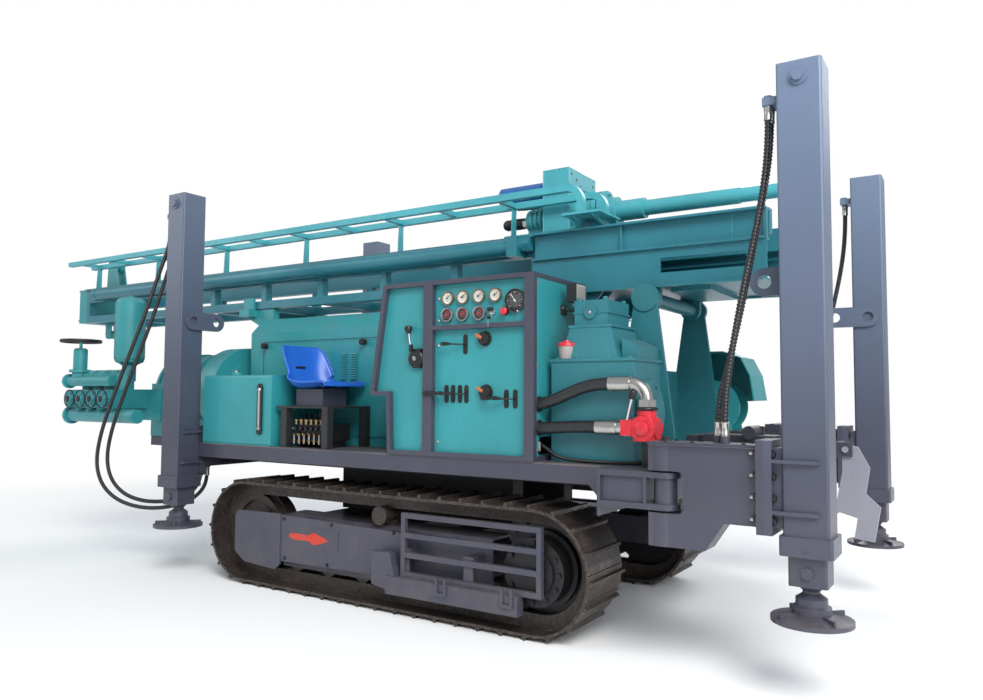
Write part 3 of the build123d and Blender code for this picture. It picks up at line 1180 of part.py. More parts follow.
with BuildPart() as sheave:
    groove = (
        (SHEAVE_PIN + FIT, -SHEAVE_HALF),
        (SHEAVE_RADIUS, -SHEAVE_HALF),
        (SHEAVE_RADIUS - 18, -8),
        (SHEAVE_RADIUS - 18, 8),
        (SHEAVE_RADIUS, SHEAVE_HALF),
        (SHEAVE_PIN + FIT, SHEAVE_HALF),
    )
    with BuildSketch(Plane(origin=(SHEAVE_X, 0, SHEAVE_Z), x_dir=(1, 0, 0), z_dir=(0, 0, 1))) as profile:
        with BuildLine():
            Polyline(*groove, close=True)
        make_face()
    revolve(profile.sketch, axis=Axis((SHEAVE_X, 0, SHEAVE_Z), (0, 1, 0)))
save(sheave.part, "crown_sheave")

# Ladder along the mast: two rails that bend down at the drilling end, rungs and gusset feet
LADDER_BEND = 90
LADDER_END = 1971
LADDER_DROP = 150
LADDER_FOOT = -MAST_HALF + TUBE_WIDTH - 10
with BuildPart() as ladder:
    for y, end in ((-LADDER_NEAR, LADDER_END), (-LADDER_FAR - LADDER_TUBE, LADDER_END + 46)):
        centre = y + LADDER_TUBE / 2
        with BuildLine() as path:
            FilletPolyline(
                (RUNG_FIRST - 130, centre, LADDER_Z),
                (end, centre, LADDER_Z),
                (end, centre, LADDER_Z - LADDER_DROP),
                radius=LADDER_BEND,
            )
        with BuildSketch(Plane(origin=path.line @ 0, z_dir=path.line % 0, x_dir=(0, 1, 0))) as tube:
            Rectangle(LADDER_TUBE, LADDER_TUBE)
        sweep(tube.sketch, path=path.line)
    for i in range(RUNG_COUNT):
        x = RUNG_FIRST + i * RUNG_PITCH
        rung_y = (-LADDER_NEAR + LADDER_TUBE, -LADDER_FAR - LADDER_TUBE)
        block((x, x + 30), rung_y, (LADDER_Z - 15, LADDER_Z + 15))
    for i in range(0, RUNG_COUNT, 2):
        x = RUNG_FIRST + i * RUNG_PITCH
        gusset = (
            (-MAST_HALF, MAST_TOP),
            (LADDER_FOOT, MAST_TOP),
            (LADDER_FOOT, LADDER_Z - LADDER_TUBE / 2),
            (LADDER_FOOT - 40, LADDER_Z - LADDER_TUBE / 2),
        )
        plate_yz(gusset, (x + 10, x + 20))
    # Shelf that the bent ends stand on
    shelf_z = LADDER_Z - LADDER_DROP
    block((LADDER_END - 110, LADDER_END + 130), (-LADDER_NEAR - 10, -LADDER_FAR + 4), (shelf_z - 12, shelf_z))
    foot = ((-MAST_HALF, MAST_TOP), (LADDER_FOOT, MAST_TOP), (LADDER_FOOT, shelf_z - 12), (-LADDER_NEAR, shelf_z - 12))
    plate_yz(foot, (LADDER_END - 60, LADDER_END - 46))
    plate_yz(foot, (LADDER_END + 60, LADDER_END + 74))
save(ladder.part, "mast_ladder")

# Feed cylinder along the mast's near side
FEED_Y = -MAST_HALF - FEED_RADIUS - GAP
with BuildPart() as feed_cylinder:
    round_x(FEED_Y, FEED_Z, FEED_RADIUS, (FEED_LEFT, FEED_RIGHT))
    round_x(FEED_Y, FEED_Z, FEED_RADIUS + 4, (FEED_LEFT, FEED_LEFT + 60))
    for x in (FEED_LEFT + 200, -1035, -300):
        block((x, x + 36), (FEED_Y + 20, -MAST_HALF), (FEED_Z - 45, FEED_Z + 45))
    block((FEED_RIGHT, FEED_RIGHT + 70), (FEED_Y - 62, -MAST_HALF), (FEED_Z - 66, MAST_TOP - 12))
    round_x(FEED_Y, FEED_Z + 6, 44, (FEED_RIGHT + 70, FEED_RIGHT + 90))
    hex_x(FEED_Y, FEED_Z + 6, 44, (FEED_RIGHT + 90, FEED_RIGHT + 140))
save(feed_cylinder.part, "feed_cylinder")

# Rotary head on a carriage that slides on the mast rails
HEAD_RIGHT = HEAD_LEFT + HEAD_LENGTH
with BuildPart() as head:
    plate_z = (MAST_TOP + FIT, MAST_TOP + CARRIAGE_PLATE)
    block((CARRIAGE_LEFT, CARRIAGE_RIGHT), (-HEAD_HALF - 25, HEAD_HALF + 25), plate_z)
    guide = MAST_HALF - TUBE_WIDTH - FIT
    for s in (-1, 1):
        runner = (s * (guide - 40), s * guide)
        block((CARRIAGE_LEFT + 20, CARRIAGE_RIGHT - 20), runner, (MAST_TOP - TUBE_HEIGHT + 20, plate_z[0]))
    block((HEAD_LEFT, HEAD_RIGHT), (-HEAD_HALF, HEAD_HALF), (plate_z[1], HEAD_TOP))
    block((HEAD_LEFT, HEAD_RIGHT + 10), (-HEAD_HALF - 8, HEAD_HALF + 8), (HEAD_TOP - 110, HEAD_TOP - 96))
    round_x(0, SPINDLE_Z, 128, (HEAD_RIGHT, HEAD_RIGHT + 36))
    round_x(0, SPINDLE_Z, 96, (HEAD_RIGHT + 36, HEAD_RIGHT + 100))
    for i in range(4):
        x = HEAD_LEFT - 60 - i * 34
        round_x(0, SPINDLE_Z, 92, (x, x + 20))
    round_x(0, SPINDLE_Z, 78, (HEAD_LEFT - 190, HEAD_LEFT))
    block((HEAD_LEFT - 180, HEAD_LEFT), (-60, 60), (plate_z[1], SPINDLE_Z - 60))
    round_x(0, SPINDLE_Z, ROD_RADIUS + FIT, (HEAD_RIGHT - 60, HEAD_RIGHT + 101), mode=Mode.SUBTRACT)
save(head.part, "head_gearbox")

with BuildPart() as head_motor:
    motor_z = HEAD_TOP - 88
    round_x(0, motor_z, 70, (HEAD_LEFT - 405, HEAD_LEFT - 90))
    round_x(0, motor_z, 58, (HEAD_LEFT - 90, HEAD_LEFT - 20))
    round_x(0, motor_z, 84, (HEAD_LEFT - 20, HEAD_LEFT))
save(head_motor.part, "head_motor")

# Drill rod: floating spindle flange, upper sleeve and the rod below it
with BuildPart() as spindle:
    start = HEAD_RIGHT - 50
    round_x(0, SPINDLE_Z, ROD_RADIUS, (start, ROD_STEP))
    round_x(0, SPINDLE_Z, SPINDLE_FLANGE, (HEAD_RIGHT + 120, HEAD_RIGHT + 146))
    round_x(0, SPINDLE_Z, SPINDLE_FLANGE, (HEAD_RIGHT + 156, HEAD_RIGHT + 180))
    round_x(0, SPINDLE_Z, 88, (HEAD_RIGHT + 110, HEAD_RIGHT + 250))
    for i in range(8):
        angle = 2 * math.pi * i / 8
        bolt_y = math.cos(angle) * (SPINDLE_FLANGE - 22)
        bolt_z = SPINDLE_Z + math.sin(angle) * (SPINDLE_FLANGE - 22)
        round_x(bolt_y, bolt_z, 11, (HEAD_RIGHT + 106, HEAD_RIGHT + 196))
    round_x(0, SPINDLE_Z, 62, (HEAD_RIGHT + 250, HEAD_RIGHT + 420))
    round_x(0, SPINDLE_Z, ROD_RADIUS - 5, (ROD_STEP, ROD_TIP))
    round_x(0, SPINDLE_Z, ROD_BORE, (ROD_STEP, ROD_TIP), mode=Mode.SUBTRACT)
save(spindle.part, "drill_rod")

# Lift cylinders
LIFT_LENGTH = math.hypot(LIFT_EYE_X - LIFT_X, LIFT_EYE_Z - LIFT_Z)
LIFT_DIR = ((LIFT_EYE_X - LIFT_X) / LIFT_LENGTH, 0, (LIFT_EYE_Z - LIFT_Z) / LIFT_LENGTH)


def along_lift(s, distance):
    """Plane across one lift cylinder, a distance from its foot pin."""
    origin = (LIFT_X + LIFT_DIR[0] * distance, s * LIFT_Y, LIFT_Z + LIFT_DIR[2] * distance)
    return Plane(origin=origin, x_dir=(0, 1, 0), z_dir=LIFT_DIR)


BARREL_END = LIFT_LENGTH - LIFT_EYE - 50
with BuildPart() as lift_barrels:
    for s in (-1, 1):
        with BuildSketch(along_lift(s, 30)):
            Circle(LIFT_BARREL)
        extrude(amount=BARREL_END - 30)
        with BuildSketch(along_lift(s, BARREL_END - 70)):
            Circle(LIFT_BARREL + 9)
        extrude(amount=70)
        with BuildSketch(along_lift(s, 90)):
            Circle(LIFT_BORE)
        extrude(amount=BARREL_END - 150, mode=Mode.SUBTRACT)
        with BuildSketch(along_lift(s, 90)):
            Circle(LIFT_ROD + FIT)
        extrude(amount=LIFT_LENGTH, mode=Mode.SUBTRACT)
        width = (s * LIFT_Y - LIFT_EYE_WIDTH / 2, s * LIFT_Y + LIFT_EYE_WIDTH / 2)
        round_y(LIFT_X, LIFT_Z, LIFT_EYE, width)
        for face in (-1, 1):
            side_y = s * LIFT_Y + face * LIFT_EYE_WIDTH / 2
            round_y(LIFT_X, LIFT_Z, LIFT_BARREL + 10, (side_y, side_y + face * 60), mode=Mode.SUBTRACT)
        round_y(LIFT_X, LIFT_Z, LIFT_PIN + FIT, width, mode=Mode.SUBTRACT)
save(lift_barrels.part, "lift_barrels")

with BuildPart() as lift_rods:
    for s in (-1, 1):
        with BuildSketch(along_lift(s, 140)):
            Circle(LIFT_ROD)
        extrude(amount=LIFT_LENGTH - 140 - LIFT_EYE + 8)
        with BuildSketch(along_lift(s, 110)):
            Circle(LIFT_BORE - FIT)
        extrude(amount=45)
        width = (s * LIFT_Y - LIFT_EYE_WIDTH / 2, s * LIFT_Y + LIFT_EYE_WIDTH / 2)
        round_y(LIFT_EYE_X, LIFT_EYE_Z, LIFT_EYE, width)
        round_y(LIFT_EYE_X, LIFT_EYE_Z, LIFT_PIN, width, mode=Mode.SUBTRACT)
save(lift_rods.part, "lift_rods")

# Mud pump platform: two cantilevered beams and cross members behind the deck
with BuildPart() as pump_platform:
    for y in (-250, 380):
        block((PUMP_LEFT - 20, stub_x[0]), (y, y + 80), (FRAME_Z + 60, DECK_Z - 25))
    for x in (PUMP_LEFT - 20, PUMP_RIGHT - 180, PUMP_RIGHT + 300):
        block((x, x + 80), (-170, 380), (FRAME_Z + 65, DECK_Z - 35))
save(pump_platform.part, "pump_platform")

# Pump power end: ribbed half-round crankcase on its base, with the plunger box in front
CRANK_Z = 1250
with BuildPart() as power_end:
    base_z = DECK_Z - 25
    block((PUMP_LEFT, PUMP_RIGHT), (-270, 440), (base_z, base_z + 60))
    block((PUMP_LEFT + 20, PUMP_RIGHT - 20), (-235, 415), (base_z + 60, CRANK_Z))
    round_x(90, CRANK_Z, 325, (PUMP_LEFT + 20, PUMP_RIGHT - 20))
    for i in range(4):
        x = PUMP_LEFT + 20 + i * (PUMP_RIGHT - PUMP_LEFT - 68) / 3
        round_x(90, CRANK_Z, 345, (x, x + 28))
    block((PUMP_LEFT + 10, PUMP_RIGHT), (-700, -235), (1035, 1275))
    block((PUMP_LEFT, PUMP_RIGHT), (-270, -235), (base_z + 60, 1330))
    round_x(DRUM_Y, DRUM_Z, 120, (PUMP_RIGHT - 60, PUMP_RIGHT))
save(power_end.part, "pump_power_end")

# Pump fluid end: valve columns, suction and discharge manifolds, air vessel and the bypass valve
with BuildPart() as fluid_end:
    block((FLUID_LEFT, FLUID_RIGHT), (-1000, -700), (1130, 1270))
    column_count = 4
    for i in range(column_count):
        x = FLUID_LEFT + 75 + i * (FLUID_RIGHT - FLUID_LEFT - 150) / (column_count - 1)
        round_z(x, -850, 68, (1270, 1400))
        hex_z(x, -850, 46, (1400, 1426))
        round_y(x, 1200, 62, (-1030, -1000))
        round_y(x, 1200, 38, (-1044, -1030))
        round_z(x, -930, 44, (1090, 1130))
    round_x(-930, 1070, 52, (FLUID_LEFT - 70, FLUID_RIGHT + 230))
    round_x(-930, 1070, 72, (FLUID_LEFT - 70, FLUID_LEFT - 46))
    round_x(-930, 1340, 40, (FLUID_LEFT - 120, VESSEL_X + 60))
    round_x(-930, 1340, 58, (FLUID_LEFT - 120, FLUID_LEFT - 96))
    block((FLUID_LEFT + 60, FLUID_RIGHT - 100), (-965, -900), (1300, 1345))
    vessel = (
        (0, 1340),
        (52, 1340),
        (52, 1462),
        (70, 1476),
        (VESSEL_RADIUS - 12, 1490),
        (VESSEL_RADIUS, 1520),
        (VESSEL_RADIUS, 1960),
        (VESSEL_RADIUS - 14, 1988),
        (70, 2002),
        (24, 2006),
        (24, 2018),
        (0, 2018),
    )
    turned(vessel, VESSEL_X, VESSEL_Y)
    block((VESSEL_X - 40, VESSEL_X + 40), (-960, VESSEL_Y), (1320, 1365))
    wheel_x = FLUID_LEFT - 14
    bonnet = ((0, 1300), (58, 1300), (58, 1410), (80, 1410), (80, 1432), (52, 1432), (52, 1590), (40, 1605), (12, 1605), (12, 1660), (0, 1660))
    turned(bonnet, wheel_x, -900)
    with BuildSketch(Plane.XY.offset(1655)) as rim:
        with Locations((wheel_x, -900)):
            Circle(150)
            Circle(134, mode=Mode.SUBTRACT)
            Rectangle(280, 16)
            Rectangle(16, 280)
    extrude(rim.sketch, amount=14)
save(fluid_end.part, "pump_fluid_end")

# Winch on the far side under an arched sheet cover on a post
WINCH_X = (2235, 2690)
WINCH_Y = (430, 740)
ARCH_Z = 1526
COVER_OUTER = (
    (WINCH_X[0], 1200),
    (WINCH_X[0], ARCH_Z - 10),
    (2300, ARCH_Z),
    (2500, ARCH_Z),
    (2610, ARCH_Z - 40),
    (2665, ARCH_Z - 150),
    (WINCH_X[1], 1221),
)
COVER_INNER = (
    (WINCH_X[0] - 1, 1199),
    (WINCH_X[0] - 1, ARCH_Z - 18),
    (2300, ARCH_Z - 6),
    (2497, ARCH_Z - 6),
    (2605, ARCH_Z - 45),
    (2659, ARCH_Z - 152),
    (WINCH_X[1] - 7, 1199),
)
with BuildPart() as winch:
    plate_xz(COVER_OUTER, WINCH_Y)
    plate_xz(COVER_INNER, (WINCH_Y[0] - 1, WINCH_Y[1] - 4), mode=Mode.SUBTRACT)
    block((2363, 2423), (WINCH_Y[1], WINCH_Y[1] + 40), (DECK_Z, ARCH_Z - 30))
    block((2250, 2560), (WINCH_Y[0], WINCH_Y[1] - 10), (DECK_Z, DECK_Z + 30))
    for y in (WINCH_Y[0] + 20, WINCH_Y[1] - 40):
        lug_xz(2420, 1180, 90, (2270, 2560), DECK_Z + 30, (y, y + 20))
    round_y(2420, 1180, 40, (WINCH_Y[0] + 40, WINCH_Y[1] - 40))
    round_y(2420, 1180, 115, (WINCH_Y[0] + 60, WINCH_Y[1] - 60))
    for y in (WINCH_Y[0] + 52, WINCH_Y[1] - 66):
        round_y(2420, 1180, 165, (y, y + 14))
save(winch.part, "winch")

# Drill table with rod clamps, and the forked plate that hangs from its end
TABLE_LEFT = 2500
TABLE_RIGHT = 3200
TABLE_Z = DECK_Z + 25
TABLE_HALF = 350
TABLE_THICKNESS = 70
TABLE_HOLE_X = 2790
TABLE_HOLE = 130
FORK_HALF = 16
FORK_PIN = 16
FORK_PIN_X = TABLE_RIGHT + 58
FORK_PIN_Z = TABLE_Z + 46
with BuildPart() as drill_table:
    block((TABLE_LEFT, TABLE_RIGHT), (-TABLE_HALF, TABLE_HALF), (TABLE_Z, TABLE_Z + TABLE_THICKNESS))
    block((TABLE_LEFT - 60, TAIL_RIGHT), (-TABLE_HALF + 50, TABLE_HALF - 50), (DECK_Z, TABLE_Z))
    round_z(TABLE_HOLE_X, 0, TABLE_HOLE, (TABLE_Z - 1, TABLE_Z + TABLE_THICKNESS + 1), mode=Mode.SUBTRACT)
    for s in (-1, 1):
        cheek = (s * (FORK_HALF + FIT), s * (FORK_HALF + 18))
        block((TABLE_RIGHT - 20, TABLE_RIGHT + 90), cheek, (TABLE_Z + 10, TABLE_Z + 82))
        round_y(FORK_PIN_X, FORK_PIN_Z, FORK_PIN + FIT, cheek, mode=Mode.SUBTRACT)
    top = TABLE_Z + TABLE_THICKNESS
    for s in (-1, 1):
        jaw = ((TABLE_HOLE_X - 180, s * 150), (TABLE_HOLE_X + 180, s * 150), (TABLE_HOLE_X + 180, s * 320), (TABLE_HOLE_X - 180, s * 320))
        plate_xy(jaw, (top, top + 46))
        round_y(TABLE_HOLE_X + 60, top + 60, 34, (s * 160, s * 345))
        block((TABLE_HOLE_X + 20, TABLE_HOLE_X + 100), (s * 170, s * 200), (top + 46, top + 90))
    block((TABLE_LEFT + 20, TABLE_LEFT + 80), (-TABLE_HALF + 20, TABLE_HALF - 20), (top, top + 38))
save(drill_table.part, "drill_table")

FORK = (
    (3205, 1010),
    (3314, 990),
    (3367, 885),
    (3346, 752),
    (3414, 687),
    (3383, 514),
    (3290, 525),
    (3307, 628),
    (3222, 651),
    (3193, 628),
    (3240, 863),
    (3240, 940),
    (3205, 960),
)
with BuildPart() as fork_plate:
    plate_xz(FORK, (-FORK_HALF, FORK_HALF))
    round_y(FORK_PIN_X, FORK_PIN_Z, FORK_PIN, (-FORK_HALF - 28, FORK_HALF + 28))
save(fork_plate.part, "fork_plate")

# Corrugated hoses of the legs. Columns: label, sign of Y, points of the route as X, distance from the middle, Z
HOSES = (
    (
        "hose_right_near_a",
        -1,
        (
            (3129, 1030, 2480),
            (3129, 1030, 2318),
            (3100, 1036, 2080),
            (3040, 1036, 1812),
            (2988, 1032, 1572),
            (2951, 1030, 1366),
            (2930, 1030, 1205),
            (2930, 1030, 1072),
        ),
    ),
    (
        "hose_right_near_b",
        -1,
        (
            (3129, 980, 2480),
            (3129, 980, 2330),
            (3092, 985, 2095),
            (3034, 985, 1815),
            (2982, 984, 1575),
            (2930, 981, 1370),
            (2886, 980, 1212),
            (2886, 980, 1072),
        ),
    ),
    (
        "hose_right_far",
        1,
        (
            (3129, 1030, 2480),
            (3129, 1030, 2310),
            (3098, 1034, 2066),
            (3036, 1036, 1792),
            (2986, 1033, 1556),
            (2950, 1031, 1358),
            (2930, 1030, 1206),
            (2930, 1030, 1072),
        ),
    ),
    (
        "hose_left_near_a",
        -1,
        (
            (-974, 980, 2480),
            (-974, 980, 2330),
            (-1052, 1000, 2100),
            (-1165, 1018, 1815),
            (-1315, 1032, 1520),
            (-1475, 1040, 1225),
            (-1620, 1036, 965),
            (-1700, 1018, 755),
            (-1690, 985, 600),
            (-1590, 950, 500),
            (-1440, 915, 455),
            (-1280, 880, 450),
            (-1130, 845, 470),
            (-1010, 815, 508),
            (-925, 797, 580),
            (-893, 791, 650),
            (-893, 791, 717),
        ),
    ),
    (
        "hose_left_near_b",
        -1,
        (
            (-974, 1030, 2480),
            (-974, 1030, 2325),
            (-1075, 1052, 2090),
            (-1200, 1070, 1800),
            (-1360, 1084, 1505),
            (-1525, 1092, 1205),
            (-1672, 1088, 940),
            (-1752, 1068, 725),
            (-1738, 1030, 565),
            (-1630, 985, 460),
            (-1470, 940, 412),
            (-1300, 892, 402),
            (-1140, 840, 425),
            (-1010, 790, 468),
            (-925, 752, 545),
            (-893, 737, 628),
            (-893, 737, 717),
        ),
    ),
)
for label, s, route in HOSES:
    points = [Vector(x, s * y, z) for x, y, z in route]
    runs = [after - before for before, after in zip(points, points[1:])]
    radii = []
    for before, after in zip(runs, runs[1:]):
        half_turn = math.radians(before.get_angle(after) / 2)
        radii.append(0.45 * min(before.length, after.length) / math.tan(half_turn))
    with BuildPart() as hose:
        with BuildLine() as path:
            FilletPolyline(*points, radius=radii)
        with BuildSketch(Plane(origin=points[0], z_dir=runs[0])) as section:
            Circle(HOSE_RADIUS)
        sweep(section.sketch, path=path.line)
    length = sum(edge.length for edge in path.line.edges())
    expected = math.pi * HOSE_RADIUS**2 * length
    print(label, "radii", [round(radius) for radius in radii])
    print(label, "length", round(length), "volume share", round(hose.part.volume / expected, 4))
    save(hose.part, label)
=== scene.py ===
"""Crawler drilling rig: materials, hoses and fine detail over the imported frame. Metres."""
import bpy
import bmesh
import json
import math
from mathutils import Matrix, Vector


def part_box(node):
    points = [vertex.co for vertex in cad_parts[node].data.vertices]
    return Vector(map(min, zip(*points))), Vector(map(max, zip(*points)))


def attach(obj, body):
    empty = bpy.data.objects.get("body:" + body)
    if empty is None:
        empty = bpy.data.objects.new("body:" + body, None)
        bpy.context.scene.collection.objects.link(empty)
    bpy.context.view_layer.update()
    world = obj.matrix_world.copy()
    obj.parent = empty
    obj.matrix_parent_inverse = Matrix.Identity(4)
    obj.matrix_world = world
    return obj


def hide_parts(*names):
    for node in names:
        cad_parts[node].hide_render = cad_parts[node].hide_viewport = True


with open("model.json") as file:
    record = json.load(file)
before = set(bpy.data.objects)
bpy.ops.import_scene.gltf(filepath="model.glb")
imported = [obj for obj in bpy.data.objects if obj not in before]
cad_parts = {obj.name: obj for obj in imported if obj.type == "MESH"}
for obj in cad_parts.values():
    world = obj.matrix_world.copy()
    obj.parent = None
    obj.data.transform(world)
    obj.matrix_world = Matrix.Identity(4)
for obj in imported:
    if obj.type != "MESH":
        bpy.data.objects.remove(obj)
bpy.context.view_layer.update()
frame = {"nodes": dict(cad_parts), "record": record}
NODES = frame["nodes"]
SIDES = (("near", -1), ("far", 1))


# Camera of the photograph

CAMERA_PLACE = (3.90673, -4.41401, 1.24095)
CAMERA_YAW = 0.571048
CAMERA_PITCH = 0.0586254
CAMERA_ROLL = 0.00591542
PHOTO_WIDTH = 983
FOCAL_PIXELS = 780.60
SENSOR = 36.0
FAR_CLIP = 200


def photo_camera():
    """The camera that took the photograph: yaw from +Y towards -X, then pitch up, then roll."""
    data = bpy.data.cameras.new("photo_camera")
    data.sensor_fit = "HORIZONTAL"
    data.sensor_width = SENSOR
    data.lens = FOCAL_PIXELS / PHOTO_WIDTH * SENSOR
    data.clip_end = FAR_CLIP
    camera = bpy.data.objects.new("photo_camera", data)
    turn = Matrix.Rotation(CAMERA_YAW, 4, "Z") @ Matrix.Rotation(math.pi / 2 + CAMERA_PITCH, 4, "X")
    turn = turn @ Matrix.Rotation(CAMERA_ROLL, 4, "Z")
    camera.matrix_world = Matrix.Translation(CAMERA_PLACE) @ turn
    bpy.context.scene.collection.objects.link(camera)
    bpy.context.scene.camera = camera


photo_camera()


# Materials

def srgb(r, g, b):
    """A colour written as the eye sees it, turned into the linear one that shaders take."""
    def linear(value):
        value = value / 255
        return value / 12.92 if value <= 0.04045 else ((value + 0.055) / 1.055) ** 2.4
    return (linear(r), linear(g), linear(b))


def shade(colour, factor):
    return tuple(min(1.0, value * factor) for value in colour)


def feed(tree, socket, value):
    """Link an input to the output that feeds it, or set its value."""
    if isinstance(value, bpy.types.NodeSocket):
        tree.links.new(value, socket)
    else:
        socket.default_value = value


def add_node(tree, kind, **inputs):
    """A new shader node; underscores in the names of its inputs stand for spaces."""
    node = tree.nodes.new(f"ShaderNode{kind}")
    for name, value in inputs.items():
        feed(tree, node.inputs[name.replace("_", " ")], value)
    return node


def combine(tree, kind, operation, *values):
    """A node of the kind Math or VectorMath that works on the values."""
    node = add_node(tree, kind)
    node.operation = operation
    for socket, value in zip(node.inputs, values):
        feed(tree, socket, value)
    return node


class Nodes:
    """A new material's node tree, with short ways to add the nodes that the paints and metals share."""

    def __init__(self, name):
        self.material = bpy.data.materials.new(name)
        self.material.use_nodes = True
        self.tree = self.material.node_tree
        self.tree.nodes.clear()
        self.shader = self.add("BsdfPrincipled")
        self.output = self.add("OutputMaterial", Surface=self.shader.outputs["BSDF"])
        self.place = self.add("TexCoord").outputs["Object"]

    def add(self, kind, **inputs):
        return add_node(self.tree, kind, **inputs)

    def set(self, **inputs):
        """Set or link inputs of the shader."""
        for name, value in inputs.items():
            feed(self.tree, self.shader.inputs[name.replace("_", " ")], value)

    def noise(self, scale, detail, roughness=0.6, stretch=None):
        """Noise over the object; stretch draws it out along the axes, for runs of dirt."""
        place = self.place
        if stretch:
            place = self.add("Mapping", Vector=place, Scale=stretch).outputs["Vector"]
        node = self.add("TexNoise", Vector=place, Scale=scale, Detail=detail, Roughness=roughness)
        return node.outputs["Fac"]

    def ramp(self, source, *stops):
        node = self.add("ValToRGB", Fac=source)
        while len(node.color_ramp.elements) < len(stops):
            node.color_ramp.elements.new(0.5)
        for element, (place, colour) in zip(node.color_ramp.elements, stops):
            element.position = place
            element.color = (*colour, 1)
        return node.outputs["Color"]

    def drift(self, source, base, dark, light):
        """The base colour, going from a darker to a lighter shade with the source."""
        return self.ramp(source, (0.3, shade(base, dark)), (0.7, shade(base, light)))

    def mask(self, source, start, end, strength=1.0, least=0.0):
        """A value that climbs from least to strength as the source goes from start to end."""
        node = self.add("MapRange", Value=source, From_Min=start, From_Max=end, To_Min=least, To_Max=strength)
        return node.outputs["Result"]

    def product(self, first, second):
        return combine(self.tree, "Math", "MULTIPLY", first, second).outputs[0]

    def mix(self, factor, first, second):
        """Two colours mixed; each is a tuple or the output that makes it."""
        node = self.add("Mix")
        node.data_type = "RGBA"
        for index, value in ((0, factor), (6, first), (7, second)):
            feed(self.tree, node.inputs[index], (*value, 1) if isinstance(value, tuple) else value)
        return node.outputs[2]

    def upward(self, vector):
        """The Z of a vector."""
        return self.add("SeparateXYZ", Vector=vector).outputs["Z"]

    def facing_up(self):
        return self.mask(self.upward(self.add("NewGeometry").outputs["Normal"]), 0.1, 1.0)

    def edges(self, radius):
        """1 on sharp outer and inner edges, 0 on flat faces."""
        bevel = self.add("Bevel", Radius=radius)
        bevel.samples = 4
        plain = self.add("NewGeometry").outputs["Normal"]
        likeness = combine(self.tree, "VectorMath", "DOT_PRODUCT", bevel.outputs["Normal"], plain)
        return self.mask(likeness.outputs["Value"], 0.99, 0.86)

    def roughen(self, source, least, most):
        """Roughness that goes from least to most with the source."""
        self.set(Roughness=self.mask(source, 0.0, 1.0, min(1.0, most), least))

    def bump(self, height, strength, distance):
        """Raise the surface by a pattern, on top of any bump that it has already."""
        node = self.add("Bump", Height=height, Strength=strength, Distance=distance)
        normal = self.shader.inputs["Normal"]
        if normal.is_linked:
            feed(self.tree, node.inputs["Normal"], normal.links[0].from_socket)
        feed(self.tree, normal, node.outputs["Normal"])


SOIL = srgb(126, 112, 98)
SOIL_TOP = 0.9
# Pale blue of a painted sky reflection on upper surfaces
SKY_SHEEN = srgb(132, 158, 190)


def paint(name, colour, rough, dust, worn=0.3, cast=0.0, sky_sheen=0.0):
    """Sprayed enamel: drifting colour, runs and specks, dust on ledges, soil low down, rubbed edges, and a
    painted sky reflection that turns it paler and bluer higher up.
    """
    n = Nodes(name)
    base = srgb(*colour)
    surface = n.drift(n.noise(1.3, 3), base, 0.86, 1.1)
    runs = n.noise(3.0, 6, 0.5, stretch=(6, 6, 0.7))
    surface = n.mix(n.mask(runs, 0.55, 0.8, 0.3), surface, shade(base, 0.62))
    specks = n.noise(34, 10, 0.75)
    surface = n.mix(n.mask(specks, 0.56, 0.76, 0.35), surface, shade(base, 0.5))
    patches = n.noise(6, 9, 0.7)
    broken = n.mask(patches, 0.4, 0.66)
    surface = n.mix(n.product(n.product(n.facing_up(), broken), dust * 1.6), surface, SOIL)
    # Painted reflection of the sky: a pale blue that grows with height
    if sky_sheen:
        surface = n.mix(n.mask(n.upward(n.place), 0.9, 2.7, sky_sheen), surface, SKY_SHEEN)
    low = n.mask(n.upward(n.place), SOIL_TOP, 0.1, dust)
    surface = n.mix(n.product(low, broken), surface, SOIL)
    rub = n.product(n.edges(0.004), n.mask(patches, 0.35, 0.6, worn))
    n.set(Base_Color=n.mix(rub, surface, shade(base, 1.9)), Coat_Weight=0.2, Coat_Roughness=0.3)
    n.roughen(specks, rough * 0.8, rough * 1.5)
    # Orange peel, slight waves of the sheet, and the grain of castings
    n.bump(n.noise(170, 3, 0.5), 0.06, 0.0006)
    n.bump(n.noise(2.2, 2, 0.4), 0.10, 0.004)
    if cast:
        n.bump(n.noise(75, 6), cast, 0.0016)
    return n.material


def metal(name, colour, rough, stain=0.3, stain_colour=(92, 78, 62)):
    """Bare or plated metal with fine scratches and darker stains."""
    n = Nodes(name)
    scratches = n.noise(140, 6, 0.7)
    surface = n.drift(scratches, srgb(*colour), 0.78, 1.0)
    stains = n.noise(16, 7, 0.7)
    surface = n.mix(n.mask(stains, 0.5, 0.75, stain), surface, srgb(*stain_colour))
    n.set(Base_Color=surface, Metallic=1.0)
    n.roughen(stains, rough * 0.7, rough * 1.7)
    n.bump(scratches, 0.08, 0.0005)
    return n.material


def track_metal(name):
    """Track shoes: dark worn steel with brown soil dried on and brighter rubbed ridges."""
    n = Nodes(name)
    cakes = n.noise(5, 10, 0.72)
    grit = n.noise(55, 9, 0.75)
    surface = n.ramp(cakes, (0.3, srgb(36, 34, 36)), (0.52, srgb(58, 52, 50)), (0.7, srgb(98, 84, 74)))
    fine = n.ramp(grit, (0.4, srgb(28, 27, 29)), (0.68, srgb(112, 98, 86)))
    surface = n.mix(0.38, surface, fine)
    rub = n.product(n.edges(0.006), n.mask(grit, 0.4, 0.6, 0.55))
    surface = n.mix(rub, surface, srgb(150, 138, 126))
    n.set(Base_Color=surface, Roughness=n.mask(cakes, 0.2, 0.8, 0.9), Metallic=0.35)
    n.bump(grit, 0.4, 0.002)
    n.bump(cakes, 0.35, 0.006)
    return n.material


